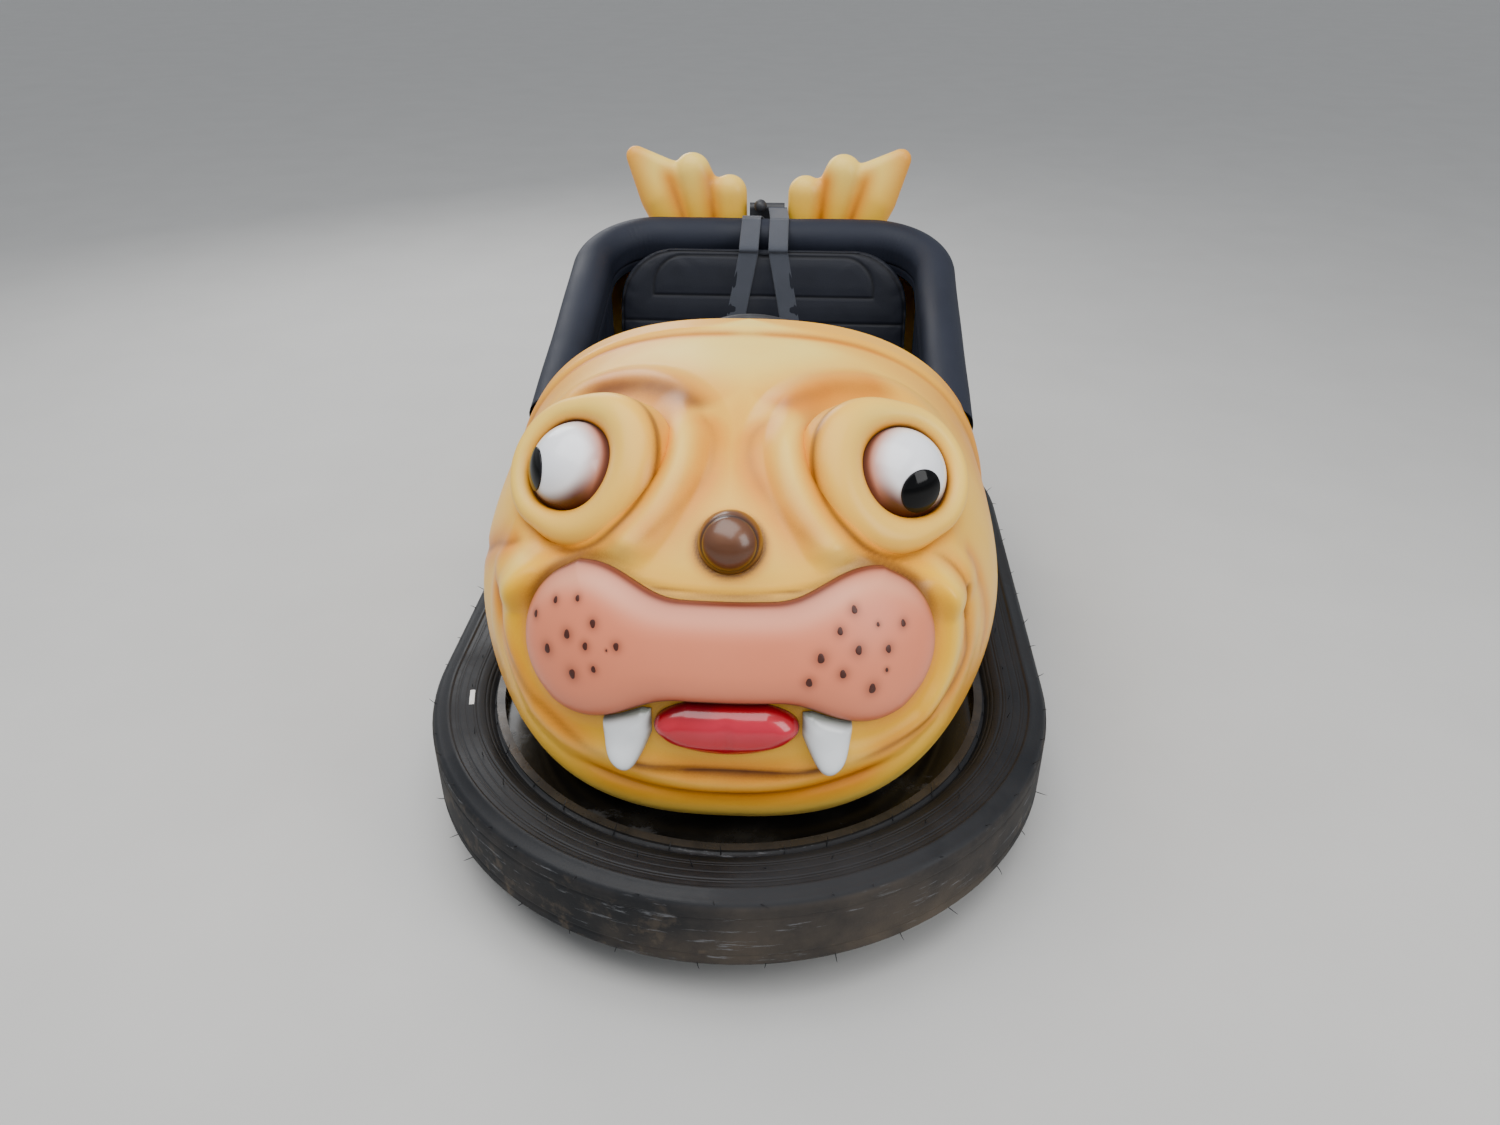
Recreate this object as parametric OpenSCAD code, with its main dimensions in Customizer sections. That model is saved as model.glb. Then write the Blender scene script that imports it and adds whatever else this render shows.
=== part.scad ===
// Two-seat fairground bumper car with a moulded animal head for a nose.
// Millimetres. X is to the right seen from the front, -Y is forward, Z is up from the floor.

/* [Bumper tyre] */
// Length over the bumper tyre
car_len = 1900; // [1700:10:2100]
// Width over the bumper tyre
car_w = 1164; // [1060:4:1250]
// Depth of the tyre from its bead to its tread face
tyre_depth = 130; // [110:5:150]
// Height of the tyre's section
tyre_h = 150; // [130:5:170]
// Height of the tyre's middle above the floor
tyre_mid_z = 150; // [140:5:165]
// Thickness of the steel band that the tyre's beads sit on
band_t = 4; // [3:1:6]

/* [Deck and frame] */
// Top of the steel deck plate above the floor
deck_z = 185; // [180:5:200]
// Thickness of the deck plate
deck_t = 4; // [3:1:6]
// Side of the square frame tube
tube_side = 40; // [30:5:45]
// Wall of the frame tube
tube_wall = 3; // [2:0.5:5]
// Distance between the middles of the two long rails
rail_gap = 460; // [440:10:500]

/* [Wheels] */
// Diameter of the steered drive wheel
drive_d = 220; // [200:5:230]
// Width of the drive wheel's tyre
drive_w = 60; // [50:2:70]
// Distance of the drive wheel's steering axis ahead of the middle of the car
drive_ahead = 500; // [480:5:510]
// Radius of the round well that the drive unit turns in
well_r = 175; // [170:1:185]
// Height of the well above the deck
well_h = 80; // [70:5:100]
// Diameter of the two rear wheels
rear_d = 160; // [140:5:165]
// Width of a rear wheel
rear_w = 45; // [35:1:55]
// Distance between the middles of the rear wheels
rear_track = 620; // [580:10:660]
// Distance of the rear axle behind the middle of the car
rear_back = 430; // [380:10:480]
// Diameter of the rear axle
axle_d = 20; // [16:1:24]

/* [Head] */
// Overhang of the head past the deck's edge, at its widest
head_over = 14.6; // [4.6:0.5:24.6]
// Reach of the head ahead of the cockpit arch
head_front = 755; // [720:5:770]
// Distance of the cockpit arch ahead of the middle of the car
arch_ahead = 65; // [50:5:90]
// Height of the head's widest level above the floor
head_mid_z = 400; // [380:5:420]
// Rise of the head above its widest level
head_up = 430; // [410:5:450]
// Squareness of the head's outline, 2 is an ellipse
head_square = 2.6; // [2.2:0.1:3]
// Distance of the moulding's inner skin below its plain outer form
skin_t = 26; // [22:1:32]
// Height of the head's bottom edge above the deck
skirt_gap = 24; // [14:1:30]

/* [Face] */
// Turn of the face from straight ahead, in degrees
face_turn = 0.9; // [0:0.1:2]
// Radius of an eyeball
eye_r = 80; // [74:1:84]
// Depth of an eyeball's middle below the middle of its lid
eye_sunk = 31; // [29:0.5:34]
// Thickness of the rolled lid around an eye
lid_t = 40; // [34:1:46]
// Radius of the ball nose
nose_r = 46; // [38:1:52]
// Thickness of the muzzle pad at its middle
muzzle_t = 30; // [20:1:38]
// Thickness of the tongue at its middle
tongue_t = 34; // [20:1:40]
// Thickness of a fang at its root
fang_t = 34; // [20:1:40]
// Radius of a pupil
pupil_r = 32; // [24:1:36]

/* [Seat tub] */
// Distance of the middle of the padded rim's roll inside the deck's edge
rim_inset = 51.4; // [45.4:1:71.4]
// Distance of the rim's rear run behind the middle of the car
roll_back = 600; // [580:5:620]
// Radius of the rim's rear corners
roll_corner = 150; // [130:5:180]
// Width of the padded roll
roll_w = 90; // [80:2:100]
// Height of the padded roll above its flat underside
roll_h = 100; // [90:2:110]
// Height of the roll's flat underside at the cockpit arch
roll_front_z = 565; // [555:1:585]
// Slope of the rim from the arch up to the rear, in degrees
roll_slope = 16; // [13:0.5:18]
// Thickness of the rear body's wall
wall_t = 14; // [10:1:18]
// How far the rear body swells behind the rim
rump = 150; // [120:5:165]
// Clearance between the seat and each side pad
seat_clear = 12; // [6:1:27]
// Top of the seat cushion above the floor
seat_z = 450; // [430:5:470]
// Thickness of the seat cushion
cushion_t = 90; // [70:5:110]
// Thickness of the seat back
back_t = 46; // [40:1:52]
// Recline of the seat back, in degrees
recline = 12; // [8:1:14]

/* [Steering] */
// Diameter of the steering wheel, at the middle of its rim
wheel_d = 310; // [280:5:330]
// Thickness of the steering wheel's rim
wheel_rim_d = 24; // [20:1:30]
// Angle of the steering column above the level, in degrees
column_tilt = 27; // [24:0.5:29]
// Height of the steering wheel's middle
wheel_z = 650; // [640:1:656]
// Distance of the steering wheel's middle behind the middle of the car
wheel_back = 115; // [105:1:125]
// Diameter of the steering shaft
shaft_d = 24; // [20:1:26]

/* [Belts] */
// Width of a belt strap
strap_w = 45; // [35:1:50]
// Thickness of a strap
strap_t = 3; // [2:0.5:4]

/* [Hidden] */
seat_gap = 0.3;        // between curved or welded pieces that seat on each other
patch_gap = 1.5;       // between the head's faceted skin and the muzzle laid on it
tooth_gap = 0.6;       // the same under the tongue and the fangs, where the skin is flatter
run_gap = 0.08;        // radial clearance of a turning fit
$fn = 64;

end_r = car_w / 2;                       // radius of the round ends of the bumper tyre
half_run = car_len / 2 - end_r;          // half the length of its straight sides
bead_r = end_r - tyre_depth;
band_out_r = bead_r - seat_gap;
band_in_r = band_out_r - band_t;
deck_r = band_in_r - seat_gap;
head_half_w = deck_r + head_over;        // half width of the head
roll_half_w = deck_r - rim_inset;        // half width of the padded rim, at the middle of its roll
pad_shift = 6;                           // inner face of a side pad outside the roll's inner side
pad_face = roll_half_w - roll_w / 2 + pad_shift;
seat_w = 2 * (pad_face - seat_clear);
beyond = 1200;                           // side of a cutting block, larger than the car is wide

// Helpers
// A closed racetrack: its profile is drawn as [distance from the end's middle, height].
module racetrack() {
    for (turn = [0, 180]) rotate([0, 0, turn]) {
        translate([0, half_run, 0]) rotate_extrude(angle = 180, $fn = 96) children();
        rotate([90, 0, 0]) linear_extrude(height = 2 * half_run, center = true) children();
    }
}

module racetrack_plate(r, t) {
    linear_extrude(height = t) union() {
        for (s = [-1, 1]) translate([0, s * half_run]) circle(r = r, $fn = 128);
        square([2 * r, 2 * half_run], center = true);
    }
}

// Bumper tyre and its steel band
bead_half = tyre_h / 2 - 13;             // half the height between the beads
shoulder_r = 17;
// Points along an arc about c, from angle a0 to a1
function arc(c, r, a0, a1, n) = [for (i = [0 : n]) let(a = a0 + (a1 - a0) * i / n) c + r * [cos(a), sin(a)]];
tyre_half = concat(
    [[bead_r, 0], [bead_r, bead_half], [bead_r + 13, bead_half]],
    arc([bead_r + 52, tyre_h / 2 - 42], 42, 150, 92, 5),
    [[end_r - 36, tyre_h / 2 - 2], [end_r - 33, tyre_h / 2 + 1]],
    [[end_r - 27, tyre_h / 2], [end_r - 25, tyre_h / 2 - 3]],
    arc([end_r - shoulder_r, tyre_h / 2 - 5 - shoulder_r], shoulder_r, 75, 5, 4),
    [[end_r, 0]]);
module tyre_section() {
    for (s = [1, -1]) polygon([for (p = tyre_half) [p[0], s * p[1]]]);
}

module bumper_tyre() {
    color("#26272a") translate([0, 0, tyre_mid_z]) racetrack() tyre_section();
}

lip_reach = 11;
module bumper_band() {
    lip_z = bead_half + seat_gap;
    color("#151517") translate([0, 0, tyre_mid_z]) racetrack() union() {
        translate([band_in_r, -lip_z - band_t]) square([band_t, 2 * (lip_z + band_t)]);
        for (s = [-1, 1]) translate([band_in_r, s * (lip_z + band_t / 2) - band_t / 2])
            square([band_t + lip_reach, band_t]);
    }
}

// Deck plate and the welded frame under it
module drive_bore(r, z0, h) {
    translate([0, -drive_ahead, z0]) cylinder(r = r, h = h, $fn = 96);
}

module deck_plate() {
    color("#1b1b1d") translate([0, 0, deck_z - deck_t]) difference() {
        racetrack_plate(deck_r, deck_t);
        drive_bore(well_r, -1, deck_t + 2);
    }
}

tube_top = deck_z - deck_t - seat_gap;
tube_mid_z = tube_top - tube_side / 2;
rail_len = 2 * (half_run + sqrt(pow(deck_r, 2) - pow((rail_gap + tube_side) / 2, 2)) - 6);
module tube_along_y(length) {
    rotate([90, 0, 0]) linear_extrude(height = length, center = true) difference() {
        square(tube_side, center = true);
        square(tube_side - 2 * tube_wall, center = true);
    }
}

module frame_rails() {
    color("#202124") for (s = [-1, 1]) translate([s * rail_gap / 2, 0, tube_mid_z]) tube_along_y(rail_len);
}

end_cross = rail_len / 2 - tube_side / 2;
cross_at = [-end_cross, -drive_ahead + well_r + 45, 60, rear_back, end_cross];
module frame_crossmembers() {
    length = rail_gap - tube_side - 2 * seat_gap;
    color("#202124") for (y = cross_at) translate([0, y, tube_mid_z]) rotate([0, 0, 90]) tube_along_y(length);
}

outrigger_at = [-half_run + 60, 0, half_run - 60];
module frame_outriggers() {
    inner = rail_gap / 2 + tube_side / 2 + seat_gap;
    length = deck_r - inner;
    color("#202124") for (y = outrigger_at, s = [-1, 1])
        translate([s * (inner + length / 2), y, tube_mid_z]) rotate([0, 0, 90]) tube_along_y(length);
}

// Drive unit: it turns all the way round in a drum riveted over the hole in the deck
well_t = 4;
well_top = deck_z + well_h;
spindle_r = 25;
module drive_well() {
    color("#2b2c30") difference() {
        union() {
            drive_bore(well_r + well_t, deck_z + seat_gap, well_h);
            drive_bore(well_r + 28, deck_z + seat_gap, well_t);
        }
        drive_bore(well_r, deck_z - 1, well_h - well_t + 1);
        drive_bore(spindle_r + 12, deck_z, well_h + 20);
    }
}

bearing_r = 64;
bearing_h = 18;
module steering_bearing() {
    z0 = well_top + 2 * seat_gap;
    color("#8d9095") difference() {
        drive_bore(bearing_r, z0, bearing_h);
        drive_bore(spindle_r + run_gap, z0 - 1, bearing_h + 2);
    }
}

box_z0 = well_top + bearing_h + 3 * seat_gap;
box_h = 112;
shaft_dir = [0, cos(column_tilt), sin(column_tilt)];
wheel_mid = [0, wheel_back, wheel_z];
// Children drawn along +Z are laid along the steering shaft, with the wheel's middle at zero.
module on_shaft() {
    translate(wheel_mid) rotate([column_tilt - 90, 0, 0]) children();
}
box_half_y = 66;
shaft_to_box = (wheel_back + drive_ahead - box_half_y) / cos(column_tilt);
module steering_gearbox() {
    spindle_top = box_z0 + 30;
    color("#6f7277") difference() {
        translate([0, -drive_ahead, box_z0]) linear_extrude(height = box_h) union() {
            square([116, 2 * box_half_y - 24], center = true);
            square([92, 2 * box_half_y], center = true);
            for (x = [-46, 46], y = [-1, 1]) translate([x, y * (box_half_y - 12)]) circle(r = 12);
        }
        drive_bore(spindle_r + run_gap, box_z0 - 1, spindle_top - box_z0 + 3);
        on_shaft() translate([0, 0, -shaft_to_box - 32]) cylinder(d = shaft_d + 2 * run_gap, h = 60);
    }
}

yoke_top_z = well_top - well_t - 10;
yoke_t = 8;
arm_in = 47;                             // inner face of a yoke arm from the middle of the wheel
arm_w = 84;
drive_axle_r = 12;
module drive_yoke() {
    color("#3b3d42") translate([0, -drive_ahead, 0]) difference() {
        union() {
            translate([0, 0, yoke_top_z - yoke_t]) cylinder(r = 92, h = yoke_t);
            translate([0, 0, yoke_top_z - yoke_t])
                cylinder(r = spindle_r, h = box_z0 + 28 - yoke_top_z + yoke_t);
            for (s = [-1, 1]) translate([s * (arm_in + yoke_t / 2), 0, 0]) rotate([0, 90, 0]) {
                translate([-yoke_top_z + yoke_t / 2, -arm_w / 2, -yoke_t / 2])
                    cube([yoke_top_z - drive_d / 2 - yoke_t / 2, arm_w, yoke_t]);
                translate([-drive_d / 2, 0, 0]) cylinder(d = arm_w, h = yoke_t, center = true);
            }
            translate([0, 0, drive_d / 2]) rotate([0, 90, 0])
                cylinder(r = drive_axle_r, h = 2 * arm_in + 2, center = true);
        }
        // lightening holes in the arms
        translate([0, 0, drive_d / 2 + 78]) rotate([0, 90, 0]) cylinder(r = 15, h = 400, center = true);
    }
}

module drive_motor() {
    x0 = arm_in + yoke_t + seat_gap;
    color("#54575c") translate([x0, -drive_ahead, drive_d / 2]) rotate([0, 90, 0]) {
        cylinder(r = 50, h = 12);
        cylinder(r = 44, h = 74);
        for (i = [0 : 4]) translate([0, 0, 20 + i * 9]) cylinder(r = 49, h = 4);
        translate([0, 0, 74]) cylinder(r = 38, h = 12);
    }
}

// A wheel about the X axis: its tyre, then its rim.
module wheel_tyre(d, w, seat_r) {
    crown = 8;
    rotate([0, 90, 0]) rotate_extrude($fn = 96) polygon(concat(
        [[seat_r, -w / 2 + 3], [seat_r + 6, -w / 2]],
        arc([d / 2 - crown, -w / 2 + crown], crown, -90, 0, 4),
        arc([d / 2 - crown, w / 2 - crown], crown, 0, 90, 4),
        [[seat_r + 6, w / 2], [seat_r, w / 2 - 3]]));
}

module wheel_rim(seat_r, w, boss_r, boss_w, bore_r) {
    web = 8;
    rotate([0, 90, 0]) difference() {
        union() {
            difference() {
                cylinder(r = seat_r - seat_gap, h = w, center = true, $fn = 96);
                for (s = [-1, 1]) translate([0, 0, s * (web / 2 + w / 2)])
                    cylinder(r = seat_r - 8, h = w, center = true);
            }
            cylinder(r = boss_r, h = boss_w, center = true);
        }
        cylinder(r = bore_r, h = boss_w + 2, center = true);
        for (a = [0 : 72 : 359]) rotate([0, 0, a]) translate([(seat_r + boss_r) / 2 - 4, 0, 0])
            cylinder(r = (seat_r - boss_r) / 5, h = w, center = true);
    }
}

drive_seat_r = drive_d / 2 - 32;
module drive_wheel_tyre() {
    color("#2a2a2c") translate([0, -drive_ahead, drive_d / 2]) wheel_tyre(drive_d, drive_w, drive_seat_r);
}
module drive_wheel_rim() {
    color("#9a9da1") translate([0, -drive_ahead, drive_d / 2])
        wheel_rim(drive_seat_r, drive_w - 8, 26, 2 * arm_in - 6, drive_axle_r + run_gap);
}

// Rear axle on two hangers
hanger_t = 10;
module rear_hangers() {
    hanger_top = tube_top - tube_side - seat_gap;
    color("#202124") for (s = [-1, 1]) translate([s * rail_gap / 2, rear_back, 0]) rotate([0, 90, 0])
        difference() {
            union() {
                translate([-hanger_top, -32, -hanger_t / 2]) cube([hanger_top - rear_d / 2, 64, hanger_t]);
                translate([-rear_d / 2, 0, 0]) cylinder(r = 22, h = hanger_t, center = true);
            }
            translate([-rear_d / 2, 0, 0])
                cylinder(r = axle_d / 2 + run_gap, h = hanger_t + 2, center = true);
        }
}

boss_half = rear_w / 2 + 8;
module rear_axle() {
    inner = rear_track / 2 - boss_half - 1;
    outer = rear_track / 2 + boss_half + 1;
    color("#a9acb0") translate([0, rear_back, rear_d / 2]) rotate([0, 90, 0]) {
        cylinder(d = axle_d, h = 2 * outer + 20, center = true);
        for (s = [-1, 1]) {
            translate([0, 0, s * (inner - 6)]) cylinder(r = 16, h = 12, center = true);
            translate([0, 0, s * (outer + 5)]) cylinder(r = 15, h = 10, center = true, $fn = 6);
        }
    }
}

rear_seat_r = rear_d / 2 - 26;
module rear_wheel_tyre(side) {
    color("#303032") translate([side * rear_track / 2, rear_back, rear_d / 2])
        wheel_tyre(rear_d, rear_w, rear_seat_r);
}
module rear_wheel_rim(side) {
    color("#9a9da1") translate([side * rear_track / 2, rear_back, rear_d / 2])
        wheel_rim(rear_seat_r, rear_w - 6, 22, 2 * boss_half, axle_d / 2 + run_gap);
}

// Head: a rounded form seen from a point on the cockpit arch.
// A direction is th degrees to the side of straight ahead and ph degrees above the level.
head_c = [0, -arch_ahead, head_mid_z];
skirt_z = deck_z + skirt_gap;
head_down = 332;                         // the form's reach below its widest level, cut off at the skirt
function form_r(th, ph) = pow(
    pow(abs(cos(ph) * sin(th)) / head_half_w, head_square)
    + pow(abs(cos(ph) * cos(th)) / head_front, head_square)
    + pow(abs(sin(ph)) / (ph > 0 ? head_up : head_down), head_square), -1 / head_square);
function way(th, ph) = [cos(ph) * sin(th), -cos(ph) * cos(th), sin(ph)];
function blend_min(a, b, k) = min(a, b) - pow(max(k - abs(a - b), 0) / k, 2) * k / 4;
function hump(x, half) = abs(x) < half ? pow(cos(90 * x / half), 1.4) : 0;
function bell(x, w) = exp(-x * x / (w * w));
function ramp(x, a, b) = let(t = min(max((x - a) / (b - a), 0), 1)) t * t * (3 - 2 * t);

// Outlines on the face, in degrees from the face's middle; below zero is inside.
lobe = [17.5, 12];                       // middle of a muzzle lobe
lobe_r = 9.4;
waist = [13.3, 5.6];                     // height of the muzzle's waist, and half its depth
function muzzle_edge(th, ph) = blend_min(norm([abs(th) - lobe[0], ph - lobe[1]]) - lobe_r,
    max(abs(th) - lobe[0], abs(ph - waist[0]) - waist[1]), 5);
tongue_mid = 4.6;
tongue_half = [8.2, 3.4];
function oval_edge(x, y, half) = let(
    k = norm([x / half[0], y / half[1]]),
    g = norm([x / pow(half[0], 2), y / pow(half[1], 2)]))
    g < 0.0001 ? -min(half) : k * (k - 1) / g;
function tongue_edge(th, ph) = oval_edge(th, ph - tongue_mid, tongue_half);
fang_th = 11;
fang_top = 6.2;
fang_tip = -2.6;
fang_half = 2.9;
function fang_width(ph) = fang_half * pow(max((ph - fang_tip) / (fang_top - fang_tip), 0), 0.7);
function fang_edge(th, ph) = max(abs(abs(th) - fang_th) - fang_width(ph), ph - fang_top, fang_tip - ph);
function mouth_edge(th, ph) = blend_min(muzzle_edge(th, ph), tongue_edge(th, ph), 2.5);
deg_mm = 13.6;                           // length of one degree on the muzzle

// The eyes look out of thick rolled collars. Each stands on its own axis.
eye_reach = 620;                         // distance of a lid's middle from the head's middle
eye_at = eye_reach * way(31.2, 32.6);
eye_axis = [38, 40];                     // direction of its axis: to the side, and above the level
eye_n = way(eye_axis[0], eye_axis[1]);
eye_in = [-cos(eye_axis[0]), -sin(eye_axis[0]), 0];
eye_up = cross(eye_n, eye_in) * -1;
lid_ring = eye_r * 0.94 + lid_t / 2;     // radius of the lid's middle line
// A direction on the right half, as seen along the right eye's axis:
// distance from the axis, turn around it, depth of the lid's plane.
function eye_view(th, ph) = let(
    w = way(abs(th), ph),
    t = (eye_at * eye_n) / max(w * eye_n, 0.05),
    q = t * w - eye_at)
    [norm(q), atan2(q * eye_up, q * eye_in), t];
// The skin sinks below each lid, with a soft fold beside it and a brow above.
function lids(th, ph, r) = let(v = eye_view(th, ph), over = sin(v[1]), inner = cos(v[1] + 25))
    min(v[2] - 17 - r, 0) * (1 - ramp(v[0], 110, 175))
    + 24 * hump(v[0] - 168, 58) * ramp(inner, -0.2, 0.6)
    + 16 * hump(v[0] - 228, 74) * ramp(over, 0.1, 0.7);
// Two soft folds run round the mouth, and die out at the fangs and under the nose.
function folds(th, ph) = let(
    d = deg_mm * mouth_edge(th, ph),
    under_nose = ramp(ph, 14, 19) * (1 - ramp(abs(th), 9, 19)),
    calm = ramp(deg_mm * fang_edge(th, ph), 15, 70) * ramp(d, 18, 60))
    calm * (1 - 0.85 * under_nose) * (19 * hump(d - 62, 54) + 9 * hump(d - 142, 58))
    * (1 - ramp(ph, 16, 25) * 0.75);
function cheeks(th, ph) = 20 * bell(abs(th) - 50, 17) * bell(ph - 3, 15)
    + 12 * bell(abs(th) - 64, 20) * bell(ph, 22);
arch_lip = 9;
function face_rise(th, ph, r) = let(y = r * cos(ph) * cos(th), f = th - face_turn)
    (lids(f, ph, r) + folds(f, ph) + cheeks(f, ph)) * ramp(y, 40, 160) + arch_lip * (1 - ramp(y, 95, 125));
function face_r(th, ph) = let(r = form_r(th, ph)) r + face_rise(th, ph, r);

// Elevation where the form meets the skirt's level, found by repeated guesses
function skirt_ph(th, guess = -12, n = 9) = n == 0 ? guess
    : skirt_ph(th, asin((skirt_z - head_mid_z) / form_r(th, guess)), n - 1);
// A point of the skin: th to the side, v from 0 at the skirt to 1 at the crown, inner or outer
function skin_point(th, v, inner) = let(
    low = skirt_ph(th),
    ph = low + (90 - low) * v,
    r = form_r(th, ph) + (inner ? -skin_t : face_rise(th, ph, form_r(th, ph)) * ramp(v, 0, 0.05)),
    p = head_c + r * way(th, ph))
    [p[0], min(p[1], head_c[1]), v > 0 ? p[2] : inner ? deck_z + seat_gap : skirt_z];

cols = 64;                               // facets across the head
rows = 52;                               // facets from the skirt to the crown
thin = 4;                                // outer facets for each inner one
function col_th(i) = let(u = 2 * i / cols - 1) 90 * (0.62 * u + 0.38 * pow(u, 3));
function row_v(j) = let(t = j / rows) t < 0.8 ? 0.85 * t : 0.68 + 1.6 * (t - 0.8);
// Two triangles of a facet, split along the diagonal that lies nearer to the skin
function split(points, a, b, c, d, middle) = let(
    ac = norm((points[a] + points[c]) / 2 - middle),
    bd = norm((points[b] + points[d]) / 2 - middle))
    ac < bd ? [[a, b, c], [a, c, d]] : [[a, b, d], [b, c, d]];
module head_skin() {
    ci = cols / thin;
    ri = rows / thin;
    outer = [for (j = [0 : rows - 1], i = [0 : cols]) skin_point(col_th(i), row_v(j), false)];
    inner = [for (j = [0 : ri - 1], i = [0 : ci]) skin_point(col_th(i * thin), row_v(j * thin), true)];
    crown = [for (h = [arch_lip, -skin_t]) head_c + (form_r(0, 90) + h) * [0, 0, 1]];
    points = concat(outer, inner, crown);
    n_out = len(outer);
    top_out = n_out + len(inner);
    top_in = top_out + 1;
    o = function(j, i) j < rows ? j * (cols + 1) + i : top_out;
    n = function(j, i) j < ri ? n_out + j * (ci + 1) + i : top_in;
    skin = [for (j = [0 : rows - 2], i = [0 : cols - 1]) each split(points,
        o(j, i), o(j + 1, i), o(j + 1, i + 1), o(j, i + 1),
        skin_point(col_th(i + 0.5), row_v(j + 0.5), false))];
    cap = [for (i = [0 : cols - 1]) [o(rows - 1, i), top_out, o(rows - 1, i + 1)]];
    lining = [for (j = [0 : ri - 2], i = [0 : ci - 1]) each [
        [n(j, i), n(j + 1, i + 1), n(j + 1, i)],
        [n(j, i), n(j, i + 1), n(j + 1, i + 1)]]];
    ceiling = [for (i = [0 : ci - 1]) [n(ri - 1, i), n(ri - 1, i + 1), top_in]];
    hem = [for (k = [0 : ci - 1]) each concat(
        [for (m = [0 : thin - 1]) [n(0, k), o(0, k * thin + m), o(0, k * thin + m + 1)]],
        [[n(0, k), o(0, (k + 1) * thin), n(0, k + 1)]])];
    arch = [for (i = [0, cols], k = [0 : ri - 1]) let(
        a = n(k, i / thin),
        fan = [for (q = [0 : thin - 1]) [a, o(k * thin + q + 1, i), o(k * thin + q, i)]],
        all = concat(fan, [[a, n(k + 1, i / thin), o((k + 1) * thin, i)]]))
        each [for (t = all) i > 0 ? [t[0], t[2], t[1]] : t]];
    polyhedron(points, concat(skin, cap, lining, ceiling, hem, arch), convexity = 8);
}

// A lid is one thick roll round the eye's opening, fattest beside the nose, on a flank that meets the skin.
lid_fat = 64;                            // thickness of the roll at its fattest
lid_fat_turn = 204;                      // where that is, from the side away from the nose
lid_low = -62;
lid_stations = 36;
lid_arc = 6;
socket_r = (eye_r + seat_gap) / cos(180 / lid_stations);
function lid_half(a) = (lid_t + (lid_fat - lid_t) * ramp(cos(a - lid_fat_turn), -0.8, 0.9)) / 2;
// Section of the roll at turn a: distance from the axis, and height
function lid_section(a) = let(h = lid_half(a), x = lid_ring - lid_t / 2)
    concat([[x, lid_low]], arc([x + h, lid_t / 2 - h], h, 180, 0, lid_arc), [[x + 2 * h + 5, lid_low]]);
module lid() {
    m = lid_arc + 3;
    points = [for (i = [0 : lid_stations - 1]) let(a = 360 * i / lid_stations)
        each [for (q = lid_section(a)) [q[0] * cos(a), q[0] * sin(a), q[1]]]];
    at = function(i, j) (i % lid_stations) * m + j % m;
    faces = [for (i = [0 : lid_stations - 1], j = [0 : m - 1])
        let(a = at(i, j), b = at(i + 1, j), c = at(i + 1, j + 1), d = at(i, j + 1))
        each [[a, b, c], [a, c, d]]];
    polyhedron(points, faces, convexity = 6);
}
// The moulding is one faceted skin: a resize by nothing keeps its size and makes it so.
module head_shell() {
    color("#f2cf86") resize([0, 0, 0]) difference() {
        union() {
            head_skin();
            for (s = [-1, 1]) on_eye(s) lid();
        }
        for (s = [-1, 1]) on_eye(s) translate([0, 0, -300])
            cylinder(r = socket_r, h = 300 - eye_sunk / 10, $fn = lid_stations);
        toward(face_turn, nose_ph) translate([0, 0, 300])
            cylinder(r = (nose_r + seat_gap) / cos(180 / 32), h = 500, $fn = 32);
    }
}

// Children drawn along +Z stand on an eye's axis, the middle of its lid at zero and X away from the nose.
module on_eye(side) {
    translate(head_c) rotate([0, 0, face_turn]) mirror([side < 0 ? 1 : 0, 0, 0]) translate(eye_at)
        rotate([0, 0, eye_axis[0]]) rotate([90 - eye_axis[1], 0, 0]) children();
}
// Children drawn along +Z point from the head's middle in a direction of the face.
module toward(th, ph) {
    translate(head_c) rotate([0, 0, th]) rotate([90 - ph, 0, 0]) children();
}

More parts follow.
